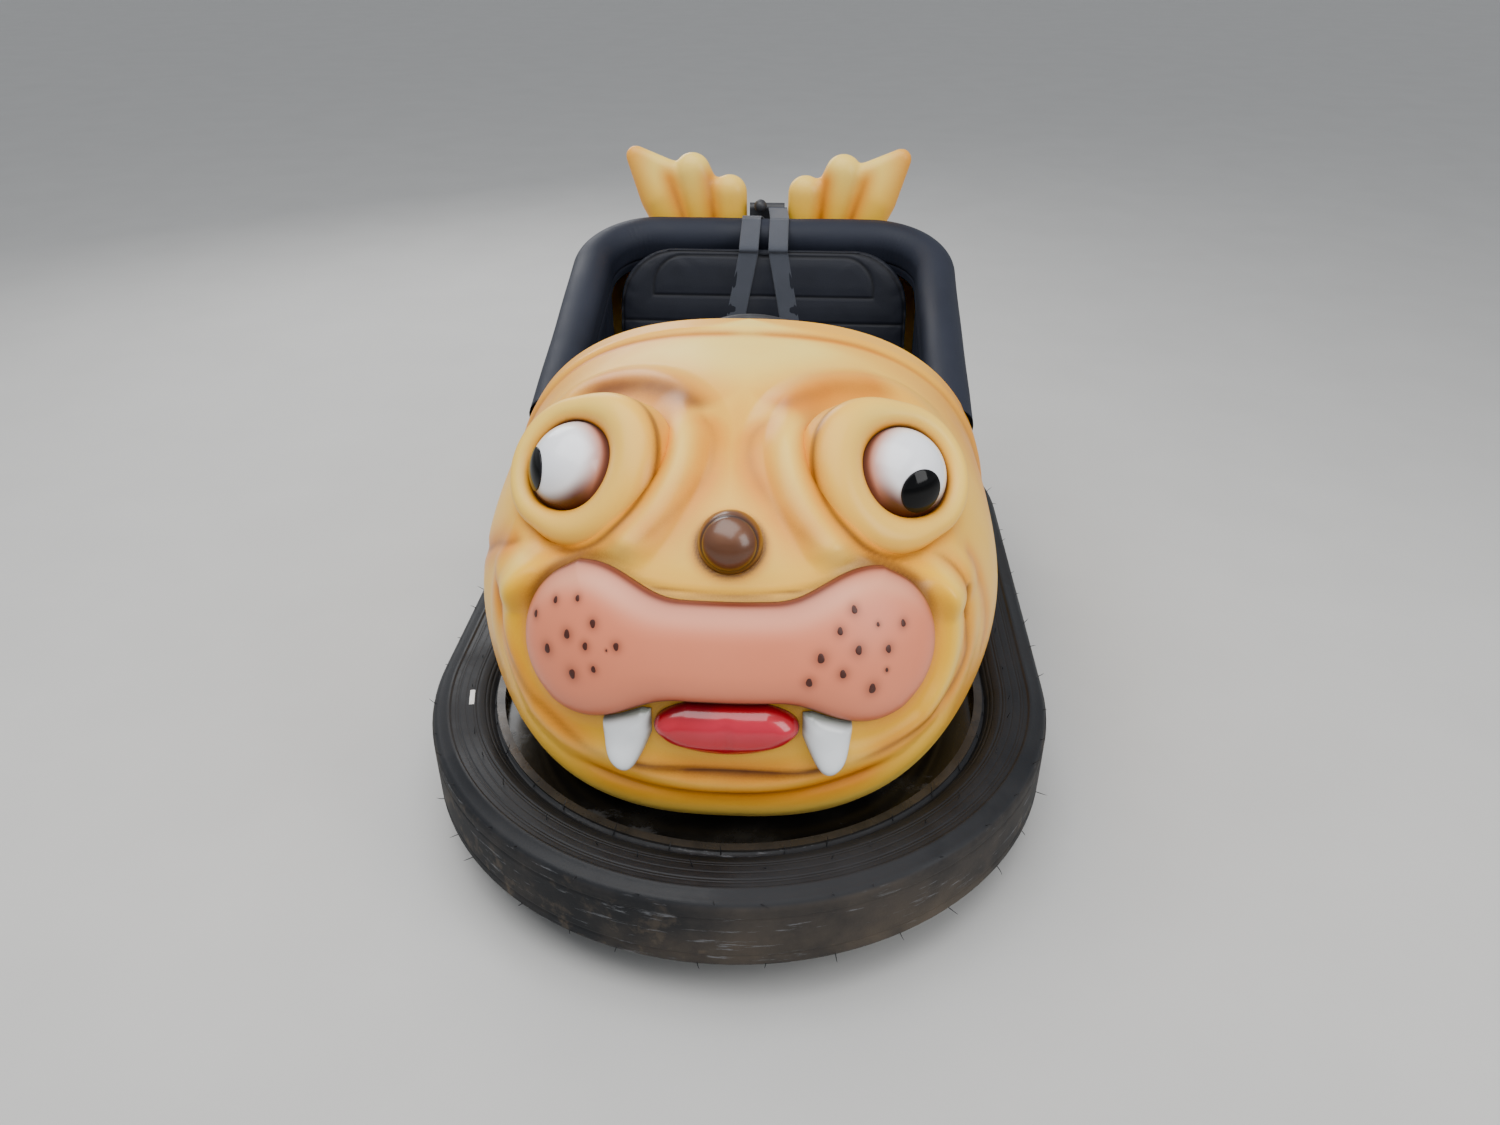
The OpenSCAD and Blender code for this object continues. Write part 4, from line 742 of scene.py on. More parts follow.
# Strokes: the creases that are carved in the mould and followed by the airbrush. Each is a name, the depth
# of the crease, its half width, the half width of its brown line and of its tan halo, how dark each is,
# and the few directions on the face that it runs through, from one end to the other.
strokes = {
    "brow_right": (2, 26, 20, 74, 0.3, 1.0,
                   [(8, 46.5), (14, 48.8), (22, 50.6), (30, 51.6), (40, 50), (50, 46.6)]),
    "brow_left": (3, 26, 28, 80, 0.85, 1.0,
                  [(-7.5, 46.2), (-14, 49), (-22, 51), (-31, 51.2), (-41, 48.6), (-52, 43)]),
    "fold_right": (1.5, 20, 8, 40, 0.2, 0.85,
                   [(9, 46), (3.6, 42), (2.6, 37.5), (4.8, 32.5), (8.6, 27.5), (13, 23.6)]),
    "fold_left": (1.5, 20, 8, 40, 0.2, 0.85,
                  [(-11, 47), (-5.6, 42.6), (-4.4, 37), (-6.2, 32.2), (-9.8, 27.4), (-14, 23.6)]),
    "cheek_right": (5, 13, 7, 30, 0.55, 0.85,
                    [(30, 21.5), (33.6, 18.5), (35, 14.5), (35.2, 9), (34.8, 4.4), (31.6, 1.2), (26, -0.4),
                     (19, -1), (13.8, -1.4)]),
    "slit_right": (10, 8, 8, 18, 1.0, 0.7, [(35.6, 15.4), (35.4, 12.6), (35, 9.4)]),
    "side_right": (2.5, 14, 5, 28, 0.15, 0.75, [(38, 19.6), (40.4, 16.4), (42.6, 10.6), (43.6, 4), (42, -2)]),
    "cheek_left": (5, 14, 7, 34, 0.45, 0.9,
                   [(-40, 15), (-37.6, 12.4), (-33.5, 8.6), (-29.4, 5), (-25.6, 2.2), (-20, 0.2), (-13.4, -1.6)]),
    "side_left": (5, 15, 7, 36, 0.45, 0.95, [(-34, 20.6), (-38, 18.6), (-44, 16.2), (-51, 12), (-60, 8.4)]),
    "lip_upper": (5, 9, 7, 30, 1.0, 0.9, [(-13.4, -1.4), (-7.5, -1.6), (0, -1.9), (8, -1.8), (13.8, -1.4)]),
    "lip_lower": (5, 12, 9, 36, 0.6, 1.0,
                  [(-19, -3.6), (-12.8, -5), (-3.4, -5.6), (6, -5.4), (14, -4.6), (21, -3.4)]),
    "under_nose": (2, 5, 3, 9, 0.7, 0.4, [(-13, 20.2), (-7, 19.8), (0, 19.6), (7, 19.8), (13, 20.4)]),
}


def smooth_path(points, count):
    """A smooth line through a few points"""
    p = np.asarray(points, float)
    p = np.vstack([2 * p[0] - p[1], p, 2 * p[-1] - p[-2]])
    made = []
    for i in range(1, len(p) - 2):
        for t in np.linspace(0, 1, count, endpoint=False):
            made.append(0.5 * (2 * p[i] + (p[i + 1] - p[i - 1]) * t
                               + (2 * p[i - 1] - 5 * p[i] + 4 * p[i + 1] - p[i + 2]) * t ** 2
                               + (3 * p[i] - p[i - 1] - 3 * p[i + 1] + p[i + 2]) * t ** 3))
    return np.array(made + [p[-2]])


stroke_reach = 110 * mm


def stroke_distance(points, line):
    """Distance of each point from a line on the face, and how far along the line the nearest place is"""
    line = on_face(line[:, 0], line[:, 1])
    near = np.full(len(points), 1.0)
    along = np.zeros(len(points))
    close = np.where(((points > line.min(0) - stroke_reach) & (points < line.max(0) + stroke_reach)).all(1))[0]
    for k, (a, b) in enumerate(zip(line[:-1], line[1:])):
        step = b - a
        share = np.clip((points[close] - a) @ step / max(step @ step, 1e-12), 0, 1)
        gap = np.linalg.norm(points[close] - a - share[:, None] * step, axis=1)
        nearer = gap < near[close]
        along[close] = np.where(nearer, (k + share) / (len(line) - 1), along[close])
        near[close] = np.minimum(near[close], gap)
    return near, along


columns = 340
rows = 240
u = np.linspace(-1, 1, columns + 1)
col_th = 90 * (0.62 * u + 0.38 * u ** 3)
t = np.arange(rows) / rows
row_v = np.where(t < 0.8, 0.85 * t, 0.68 + 1.6 * (t - 0.8))
skirt_ph = np.full(columns + 1, -12.0)
for _ in range(9):
    skirt_ph = np.degrees(np.arcsin((skirt_z - head_middle[2]) / form_r(col_th, skirt_ph)))
TH, V = np.meshgrid(col_th, row_v)
PH = skirt_ph[None, :] + (90 - skirt_ph[None, :]) * V
R = form_r(TH, PH)
hem = 7 * mm * (1 - ramp(PH - skirt_ph[None, :], 0.15, 1.1)) + 2.5 * mm * bell(PH - skirt_ph[None, :] - 1.9, 0.45)
R = R + face_rise(TH, PH, R) * ramp(V, 0, 0.05)
head_points = (head_middle + R[..., None] * way(TH, PH)).reshape(-1, 3)
F = (TH - face_turn).ravel()
P = PH.ravel()
brown, tan = np.zeros(len(F)), np.zeros(len(F))
sink = np.zeros(len(F))
for depth, half, line_half, halo, dark, warm, through in strokes.values():
    near, along = stroke_distance(head_points, smooth_path(through, 10))
    taper = ramp(along, -0.02, 0.16) * (1 - ramp(along, 0.84, 1.02))
    sink = np.maximum(sink, depth * mm * bell(near, half * mm) * taper)
    brown = np.maximum(brown, dark * bell(near, line_half * mm) * taper)
    tan = np.maximum(tan, warm * bell(near, halo * mm) * (0.35 + 0.65 * taper))
front = np.where(head_points[:, 1] < arch_y - 60 * mm, 1.0, 0.0)
head_points -= ((sink * front)[:, None] + hem.ravel()[:, None]) * way(TH, PH).reshape(-1, 3)
head_points[:, 1] = np.minimum(head_points[:, 1], arch_y)
head_points[:columns + 1, 2] = skirt_z

# The airbrush's masks. Brown and tan follow the mouth's edge, then the lids' feet; brown along the tongue's lower
# edge is a painted shadow under the tongue.
around_mouth = deg_len * mouth_edge(F, P)
off_middle = np.abs(F)
brown = np.maximum(brown, 0.95 * bell(around_mouth, 9 * mm)
                   * (0.55 + 0.45 * ramp(P, 8, 20) * ramp(off_middle, 10, 22)))
brown = np.maximum(brown, 0.8 * bell(around_mouth - 7 * mm, 15 * mm) * ramp(P, 9, 16) * ramp(off_middle, 9, 20))
# Painted shadow: brown on the skin just under the tongue's lower edge
brown = np.maximum(brown, 0.8 * bell(deg_len * tongue_edge(F, P), 9 * mm) * (1 - ramp(P, 1, 3)))
tan = np.maximum(tan, 0.75 * bell(around_mouth - 8 * mm, 30 * mm) * (0.4 + 0.6 * ramp(off_middle, 12, 22)))
tan = np.maximum(tan, 0.8 * ramp(off_middle, 50, 74) * (0.45 + 0.55 * (1 - ramp(P, 20, 58))))
tan = np.maximum(tan, 0.55 * bell(P + 5, 9) * ramp(off_middle, 24, 38))
lid_gap, lid_way, _ = eye_view(F, P)
lid_gap = lid_gap - lid_foot(180 - lid_way)
nose_side = ramp(cos(lid_way - 8), -0.3, 0.8)
brown = np.maximum(brown, (0.45 + 0.5 * nose_side) * bell(lid_gap, 8 * mm) * (1 - ramp(off_middle, 56, 66)))
tan = np.maximum(tan, 0.95 * bell(lid_gap, 30 * mm) * (0.6 + 0.4 * nose_side))

# Yellow lies in a band round the mouth and on the chin. A painted highlight, a pale coat, lies on the forehead,
# the folds' crests, a band beside each lid and the hem.
yellow = bell(around_mouth - 40 * mm, 26 * mm) * (1 - ramp(P, 20, 26)) * (0.35 + 0.65 * ramp(off_middle, 12, 24))
yellow = np.maximum(yellow, 0.95 * bell(around_mouth - 30 * mm, 30 * mm) * (1 - ramp(P, 0, 8))
                    * ramp(off_middle, 10, 14))
yellow = np.maximum(yellow, 0.35 * bell(P + 3, 8) * (1 - ramp(off_middle, 26, 40)))
# Painted highlight: the forehead's top, the folds' crests, a band beside each lid and the hem's bevel
light = 0.8 * ramp(P, 50, 68) * (1 - ramp(off_middle, 40, 75))
light = np.maximum(light, 0.7 * hump(around_mouth - 62 * mm, 26 * mm) * (1 - ramp(P, 18, 24)))
light = np.maximum(light, 0.6 * hump(lid_gap - 44 * mm, 34 * mm) * ramp(cos(lid_way + 25), -0.1, 0.6))
light = np.maximum(light, 0.6 * (1 - ramp(P, -9.6, -7.6)))

# Tan below the arch's lip, with a thin brown line of painted shadow under the lip, between the brows and, with
# a brown ring, round the nose.
ahead_of_arch = arch_y - head_points[:, 1]
below_lip = bell(ahead_of_arch - 64 * mm, 12 * mm) * (0.45 + 0.55 * ramp(off_middle, 4, 40))
tan = np.maximum(tan, 0.85 * below_lip)
# Painted shadow: a thin brown line just under the arch's lip
brown = np.maximum(brown, 0.3 * bell(ahead_of_arch - 60 * mm, 6 * mm) * ramp(P, 5, 20))
tan = np.maximum(tan, 0.45 * bell(F, 5) * bell(P - 45, 9))
away_from_nose = np.linalg.norm(head_points - nose_foot, axis=1)
brown = np.maximum(brown, 0.9 * bell(away_from_nose - nose_ring, 5 * mm))
tan = np.maximum(tan, 0.6 * bell(away_from_nose - nose_ring - 4 * mm, 12 * mm))

outer_faces = grid_faces(rows, columns + 1)
crown_at = len(head_points)
crown = head_middle + (form_r(0, 90) + arch_lip) * np.array([0, 0, 1])
cap_faces = [[(rows - 1) * (columns + 1) + i, (rows - 1) * (columns + 1) + i + 1, crown_at] for i in range(columns)]
inner_step = 9
inner_rows = rows // inner_step
inner_v = row_v[::inner_step]
ITH, IV = np.meshgrid(col_th, inner_v)
IPH = skirt_ph[None, :] + (90 - skirt_ph[None, :]) * IV
inner = head_middle + (form_r(ITH, IPH) - skin_t)[..., None] * way(ITH, IPH)
inner[..., 1] = np.minimum(inner[..., 1], arch_y)
inner[0, :, 2] = deck_z + 1 * mm
inner_at = crown_at + 1
inner_crown = inner_at + inner.shape[0] * inner.shape[1]
inner_faces = [f[::-1] for f in grid_faces(inner_rows, columns + 1, start=inner_at)]
last = inner_at + (inner_rows - 1) * (columns + 1)
inner_faces += [[last + i + 1, last + i, inner_crown] for i in range(columns)]
hem_faces = [[i + 1, i, inner_at + i, inner_at + i + 1] for i in range(columns)]
arch_faces = []
for i in (0, columns):
    for k in range(inner_rows - 1):
        outside = [(k * inner_step + q) * (columns + 1) + i for q in range(inner_step + 1)]
        face = outside[::-1] + [inner_at + k * (columns + 1) + i, inner_at + (k + 1) * (columns + 1) + i]
        arch_faces.append(face if i == 0 else face[::-1])
    outside = [q * (columns + 1) + i for q in range((inner_rows - 1) * inner_step, rows)] + [crown_at]
    face = outside[::-1] + [last + i, inner_crown]
    arch_faces.append(face if i == 0 else face[::-1])
shell_points = np.vstack([head_points, crown[None], inner.reshape(-1, 3),
                          (head_middle + (form_r(0, 90) - skin_t) * np.array([0, 0, 1]))[None]])
moulding = mesh_piece("head_moulding", shell_points,
                      outer_faces + cap_faces + inner_faces + hem_faces + arch_faces)
extra = len(shell_points) - len(head_points)
for name, values in (("brown", brown), ("tan", tan), ("yellow", yellow), ("light", light)):
    mask(moulding, name, np.concatenate([values, np.zeros(extra)]))
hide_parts("head_shell")

# The airbrush: colours sprayed over the enamel, each as thick as its mask, in the order that the painter works.
# The first, pale coat is a painted highlight.
airbrush_and_highlight, into, out = new_group(
    "airbrush_and_highlight_coats",
    [("Enamel", "Color", rgb(254, 198, 66)), ("Light coat", "Color", rgb(255, 222, 112)),
     ("Yellow coat", "Color", rgb(250, 190, 0)), ("Tan coat", "Color", rgb(232, 138, 8)),
     ("Brown coat", "Color", rgb(92, 46, 2)), ("Light", "Float", 0.0), ("Yellow", "Float", 0.0),
     ("Tan", "Float", 0.0), ("Brown", "Float", 0.0)], [("Color", "Color")])
uneven = put(airbrush_and_highlight, "TexNoise", {"Vector": put(airbrush_and_highlight, "TexCoord").outputs["Object"], "Scale": 7.0,
                                    "Detail": 5.0, "Roughness": 0.5}).outputs[0]
speckle = put(airbrush_and_highlight, "TexNoise", {"Vector": put(airbrush_and_highlight, "TexCoord").outputs["Object"], "Scale": 420.0,
                                     "Detail": 2.0}).outputs[0]
sprayed = into["Enamel"]
for coat in ("Light", "Yellow", "Tan", "Brown"):
    share = sums(airbrush_and_highlight, "MULTIPLY", into[coat], level(airbrush_and_highlight, uneven, 0.25, 0.75, 0.78, 1.12))
    share = sums(airbrush_and_highlight, "ADD", share, sums(airbrush_and_highlight, "MULTIPLY", sums(
        airbrush_and_highlight, "MULTIPLY", share, sums(airbrush_and_highlight, "SUBTRACT", 1.0, share)), sums(
        airbrush_and_highlight, "SUBTRACT", speckle, 0.5)), True)
    sprayed = tint(airbrush_and_highlight, share, sprayed, into[coat + " coat"])
airbrush_and_highlight.links.new(sprayed, out["Color"])


def enamel(name, **colours):
    """Glossy airbrushed enamel, with its painted highlight, that reads its masks from the piece"""
    made, tree, shader = material(name, 0.42, coat_weight=0.12, coat_roughness=0.2, specular_ior_level=0.32)
    masks = {key: reading(tree, key) for key in ("light", "yellow", "tan", "brown")}
    sprayed = placed(tree, airbrush_and_highlight, **masks, **colours)["Color"]
    soil = placed(tree, dust, scale=9.0, amount=0.3, softness=0.14)["Mask"]
    tree.links.new(tint(tree, sums(tree, "MULTIPLY", soil, 0.14), sprayed, rgb(150, 120, 80)), shader["Base Color"])
    tree.links.new(level(tree, clouds(tree, 9.0), 0.3, 0.7, 0.34, 0.46), shader["Roughness"])
    relief(tree, shader, clouds(tree, 26.0, 3.0), 0.6 * mm, 0.25)
    return made


head_enamel = enamel("head_enamel")
dress(moulding, head_enamel)

# Eyelids: the thick rolls round the eyes, laid up in one with the head. They are fattest beside the nose,
# and the painter darkens the roll's inner edge and the crease at its foot. A painted highlight runs along the
# roll's crest.
lid_low = -52 * mm
lid_stations = 150


def eye_to_car(points, side):
    """From an eye's own frame, X away from the nose and Z along its axis, to the car's"""
    turned = np.asarray(points, float)
    for angle, (a, b) in ((90 - eye_axis[1], (1, 2)), (eye_axis[0], (0, 1))):
        first, second = turned[..., a].copy(), turned[..., b].copy()
        turned = turned.copy()
        turned[..., a] = first * cos(angle) - second * sin(angle)
        turned[..., b] = first * sin(angle) + second * cos(angle)
    turned = turned + eye_at
    turned[..., 0] *= side
    x, y = turned[..., 0].copy(), turned[..., 1].copy()
    turned[..., 0] = x * cos(face_turn) - y * sin(face_turn)
    turned[..., 1] = x * sin(face_turn) + y * cos(face_turn)
    return turned + head_middle


def one_sided(faces, side):
    return [f[::-1] for f in faces] if side < 0 else faces


lid_arc = np.concatenate([[180] * 6, np.linspace(180, 0, 26), [0] * 12])
lid_drop = np.concatenate([np.linspace(1, 0.12, 6), np.zeros(26), np.linspace(0.1, 1, 12)])
turns = 360 * np.arange(lid_stations) / lid_stations
half = lid_width(turns)[:, None] / 2
reach = lid_in_r + half + half * cos(lid_arc)[None] + (lid_arc == 0) * 5 * mm * lid_drop
height = np.where(lid_drop > 0, (lid_t / 2 - half) * (1 - lid_drop) + lid_low * lid_drop,
                  lid_t / 2 - half + half * sin(lid_arc)[None])
lid_local = np.stack([reach * cos(turns)[:, None], reach * sin(turns)[:, None], height], -1)
foot = np.where(lid_arc[None] < 90, height + 15 * mm, 1.0)
nose_side = ramp(cos(turns - 205), -0.35, 0.7)[:, None]
lid_brown = np.maximum(0.95 * bell(lid_arc - 174, 17)[None] * (lid_arc > 100)[None],
                       bell(foot, 7 * mm) * (0.35 + 0.6 * nose_side))
lid_tan = np.maximum(0.8 * bell(lid_arc - 178, 44)[None] * (lid_arc > 90)[None] + 0.22 * nose_side,
                     0.8 * ramp(-height, -22 * mm, 14 * mm) * (lid_arc < 90)[None] * (0.3 + 0.7 * nose_side))
# Painted highlight along the top of the roll's crest
lid_highlight = np.tile(0.5 * bell(lid_arc - 105, 45), (lid_stations, 1))
for side, name in ((-1, "eyelid_left"), (1, "eyelid_right")):
    lid = mesh_piece(name, eye_to_car(lid_local, side).reshape(-1, 3),
                     one_sided(grid_faces(lid_stations, len(lid_arc), True, True), -side))
    mask(lid, "brown", lid_brown)
    mask(lid, "tan", lid_tan)
    mask(lid, "light", lid_highlight)
    mask(lid, "yellow", np.zeros(lid_tan.shape))
    dress(lid, head_enamel)

# Eyes: two white balls of moulded plastic pushed through the head from behind and held there. Pink is sprayed
# on their nose side, and painted shade in dark brown lies at their rim under the lid and low on the ball. Each black
# pupil is a thin glossy disc glued on the ball, its rim a painted highlight.
look = {-1: (-65, 13), 1: (28, 7)}
pupil_r = 35 * mm
pupil_t = 2.7 * mm
eye_white, tree, shader = material("eye_white", 0.2, coat_weight=0.2, coat_roughness=0.08)
white = tint(tree, clouds(tree, 10.0), rgb(252, 252, 254), rgb(244, 246, 252))
white = tint(tree, reading(tree, "pink"), white, rgb(196, 122, 100))
# Painted shade: dark brown at the ball's rim under the lid and low on the ball
white = tint(tree, reading(tree, "dark"), white, rgb(74, 34, 22))
tree.links.new(white, shader["Base Color"])
relief(tree, shader, clouds(tree, 40.0, 2.0), 0.15 * mm, 0.3)
pupil_gloss, tree, shader = material("pupil_gloss", 0.1, specular_ior_level=0.22)
# The pupil's rim is a painted highlight, lighter than its black middle
tree.links.new(tint(tree, reading(tree, "edge"), rgb(3, 3, 4), rgb(26, 24, 28)), shader["Base Color"])
tree.links.new(level(tree, clouds(tree, 60.0), 0.3, 0.7, 0.05, 0.14), shader["Roughness"])

polar = np.linspace(0, 128, 60)
eye_sides = 96
around = 360 * np.arange(eye_sides) / eye_sides
PO, AR = np.meshgrid(polar, around, indexing="ij")
ball = np.stack([eye_r * sin(PO) * cos(AR), eye_r * sin(PO) * sin(AR), eye_r * cos(PO) - eye_sunk], -1)
from_axis = eye_r * sin(PO) + np.where(PO > 90, 1.0, 0.0)
# Pink lies on the nose side; dark is painted shade at the rim under the lid and low on the ball
pink = 0.9 * ramp(from_axis, 50 * mm, 74 * mm) * ramp(cos(AR - 165), -0.3, 0.7)
dark = np.maximum(ramp(from_axis, 50 * mm, 70 * mm) * ramp(cos(AR - 252), 0.15, 0.9),
                  0.8 * ramp(from_axis, 69 * mm, 75 * mm))
for side, name in ((-1, "left"), (1, "right")):
    eye = mesh_piece("eyeball_" + name + "_painted", eye_to_car(ball, side).reshape(-1, 3),
                     one_sided(grid_faces(len(polar), eye_sides, False, True), -side))
    mask(eye, "pink", pink)
    mask(eye, "dark", dark)
    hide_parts("eyeball_" + name)
    dress(eye, eye_white)
    middle = eye_to_car(np.array([0, 0, -eye_sunk]), side)
    out = way(*look[side])
    across = np.array([cos(look[side][0]), sin(look[side][0]), 0])
    upward = np.cross(out, across) * -1
    rho = np.concatenate([np.linspace(0.2 * mm, pupil_r - 1.5 * mm, 22),
                          pupil_r - np.array([0.9, 0.35, 0.05, 0]) * mm])
    lift = np.concatenate([np.full(22, pupil_t), np.array([2.55, 2.0, 1.2, -0.8]) * mm])
    disc = []
    for radius, rise in zip(rho, lift):
        off = math.asin(radius / eye_r)
        for a in np.radians(around):
            turned = math.cos(off) * out + math.sin(off) * (math.cos(a) * across + math.sin(a) * upward)
            disc.append(middle + (eye_r + rise) * turned)
    faces = grid_faces(len(rho), eye_sides, False, True) + [list(range(eye_sides - 1, -1, -1))]
    pupil = mesh_piece("pupil_" + name + "_disc", disc, faces)
    # Painted highlight round the pupil's rim
    mask(pupil, "edge", np.repeat(bell(rho - pupil_r, 2 * mm), eye_sides))
    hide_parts("pupil_" + name)
    dress(pupil, pupil_gloss)


# Mouth: a muzzle pad, a tongue and two fangs, each moulded apart and glued on the head. The pad is matt salmon
# with a painted highlight along its upper edge and painted shade low down, the tongue is clear-coated crimson with
# a painted highlight on its upper half and painted shade at its edge, the fangs are white with painted grey shade
# at their edges.
def edge_way(edge, f, p, df, dp):
    """How far a place inside an outline is from it, one way"""
    low, high = np.zeros(np.shape(f)), np.full(np.shape(f), 40.0)
    for _ in range(20):
        middle = (low + high) / 2
        inside = edge(f + middle * df, p + middle * dp) < 0
        low, high = np.where(inside, middle, low), np.where(inside, high, middle)
    return low


def face_patch(name, node, edge, spine, thick, gap, round_off, across, up, shape=None, ridged=False):
    """A piece laid on the face inside an outline, swelling from its edge or, if ridged, from side to side.
    Returns it with a function that spreads a mask over it, and f, p and the depth inside of its front."""
    start = np.array(spine[0], float)
    left = spine[0] - edge_way(edge, start, spine[1], -1, 0)
    right = spine[0] + edge_way(edge, start, spine[1], 1, 0)
    f = (left + right) / 2 + 0.998 * (right - left) / 2 * sin(np.linspace(-90, 90, across))
    low = spine[1] - edge_way(edge, f, spine[1] + 0 * f, 0, -1)
    high = spine[1] + edge_way(edge, f, spine[1] + 0 * f, 0, 1)
    f, share = np.meshgrid(f, sin(np.linspace(-90, 90, up)), indexing="ij")
    p = (low + high)[:, None] / 2 + (high - low)[:, None] / 2 * share
    inset = np.clip(-edge(f, p), 0, None)
    rise = 2 * mm + (thick - 2 * mm) * np.sqrt(1 - (1 - np.clip(inset / round_off, 0, 1)) ** 2)
    if ridged:
        crossing = np.abs(sin(np.linspace(-90, 90, across)))[:, None]
        rise = 2 * mm + (thick - 2 * mm) * np.sqrt(np.clip((1 - crossing ** 3) * (1 - np.abs(share) ** 4), 0, 1))
    if shape is not None:
        rise = rise + shape(f, p, inset)
    front = on_face(f, p, gap + rise)
    back = on_face(f[:, ::up - 1], p[:, ::up - 1], -3 * mm)
    points = np.vstack([front.reshape(-1, 3), back.reshape(-1, 3)])
    faces = [q[::-1] for q in grid_faces(across, up)]
    base = across * up
    for i in range(across - 1):
        a, b = base + 2 * i, base + 2 * i + 2
        faces += [[i * up, a, b, (i + 1) * up][::-1], [(i + 1) * up - 1, (i + 2) * up - 1, b + 1, a + 1][::-1]]
        faces.append([a, a + 1, b + 1, b][::-1])
    faces.append([base, *range(0, up), base + 1][::-1])
    faces.append([base + 2 * across - 1, *range(across * up - 1, (across - 1) * up - 1, -1),
                  base + 2 * across - 2][::-1])
    piece = mesh_piece(name, points, faces)
    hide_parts(node)
    tail = np.full(2 * across, 0.0)
    return piece, lambda values: np.concatenate([np.ravel(values), tail]), f, p, inset


# Whisker spots: to the side and up, in degrees, and radius in mm
whisker_spots = [(-24, 14.6, 5), (-21.2, 17, 4.6), (-18.1, 17.9, 4.2), (-15.5, 15.7, 5.4), (-18.7, 13.8, 6),
                 (-21.3, 11.4, 6.4), (-16.1, 13.1, 5), (-12.3, 13.8, 5), (-13.4, 13.2, 1.8), (-17.5, 9.6, 6.4),
                 (-14.8, 10.8, 4.4), (14.8, 17.9, 5.2), (17.5, 15.9, 3), (20.9, 15.3, 5), (12.8, 15.9, 5),
                 (10.4, 13.3, 6.2), (14.8, 13.6, 6), (18.5, 13, 5.4), (18.1, 10.7, 3), (12.8, 11.3, 5.6),
                 (9, 10.8, 5.6), (16.2, 9, 6.6)]
muzzle_thick = 30 * mm
muzzle_gap = 1.5 * mm
muzzle_round = 4.0


def muzzle_rise(f, p):
    inset = np.clip(-muzzle_edge(f, p) / muzzle_round, 0, 1)
    return muzzle_gap + 2 * mm + (muzzle_thick - 2 * mm) * np.sqrt(1 - (1 - inset) ** 2)


muzzle, spread, MF, MP, inset = face_patch("muzzle_pad_painted", "muzzle_pad", muzzle_edge, (0, 12.9), muzzle_thick,
                                           muzzle_gap, muzzle_round, 330, 120)
# Painted highlight along the pad's upper edge; painted shade low on the pad and along its lower edge
crest = ramp(MP - (waist[0] + 1.5), -1.0, 6.0)
mask(muzzle, "pale_highlight", spread(0.75 * bell(inset - 1.7, 1.5) * crest))
mask(muzzle, "rim", spread(0.9 * bell(inset, 0.4) + 0.3 * bell(inset, 1.2)))
mask(muzzle, "shade", spread(0.3 * ramp(-MP, -8, -2) + 0.3 * bell(inset - 0.6, 0.8) * (1 - crest)))
halo = np.zeros(MF.shape)
for f, p, radius in whisker_spots:
    away = deg_len * np.hypot((MF - f) * cos(p), MP - p)
    halo = np.maximum(halo, 0.75 * bell(away, 2.0 * radius * mm))
mask(muzzle, "halo", spread(halo))
salmon, tree, shader = material("muzzle_salmon", 0.42, coat_weight=0.12, coat_roughness=0.3)
skin = tint(tree, clouds(tree, 8.0), rgb(230, 128, 92), rgb(236, 138, 100))
# Pale is a painted highlight and shade a painted shade on the pad
skin = tint(tree, reading(tree, "pale_highlight"), skin, rgb(244, 170, 136))
skin = tint(tree, reading(tree, "shade"), skin, rgb(196, 94, 62))
skin = tint(tree, reading(tree, "halo"), skin, rgb(134, 66, 48))
skin = tint(tree, reading(tree, "rim"), skin, rgb(116, 50, 32))
tree.links.new(skin, shader["Base Color"])
grained(tree, shader, 500.0, 0.7, 0.2 * mm, 0.4)
dress(muzzle, salmon)

spot_dice = random.Random(11)
spots = []
for f, p, radius in whisker_spots:
    wobble = [spot_dice.uniform(0.82, 1.12) for _ in range(5)]
    rings = []
    for share in (0.02, 0.5, 0.85, 1.0):
        for a in np.linspace(0, 2 * math.pi, 29)[:-1]:
            size = radius * mm * share * (1 + 0.12 * math.cos(2 * a + wobble[0] * 3)
                                          + 0.07 * math.cos(3 * a + wobble[1] * 9))
            rings.append((f + size * math.cos(a) / deg_len / cos(p), p + 1.12 * size * math.sin(a) / deg_len))
    rings = np.array(rings)
    lift = muzzle_rise(rings[:, 0], rings[:, 1]) + np.repeat([0.5, 0.45, 0.35, -0.2], 28) * mm
    spots.append((on_face(rings[:, 0], rings[:, 1], lift), [q[::-1] for q in grid_faces(4, 28, False, True)]))
whiskers = mesh_piece("whisker_spots", *joined(spots))
spot_paint, tree, shader = material("spot_paint", 0.45)
tree.links.new(tint(tree, clouds(tree, 160.0), rgb(54, 18, 8), rgb(84, 34, 18)), shader["Base Color"])
dress(whiskers, spot_paint)

tooth_gap = 0.6 * mm
tongue_thick = 34 * mm
fang_thick = 26 * mm
tongue, spread, TF, TP, inset = face_patch(
    "tongue_glossy", "tongue", lambda f, p: np.maximum(tongue_edge(f, p), 0.25 - muzzle_edge(f, p)),
    (0, tongue_mid), tongue_thick, tooth_gap, 2.6, 150, 70,
    lambda f, p, d: -2.5 * mm * bell(f, 0.7) * ramp(d, 0.4, 2.2) + 1.2 * mm * bell(p - 3.1, 0.5) * ramp(d, 0.3, 1))
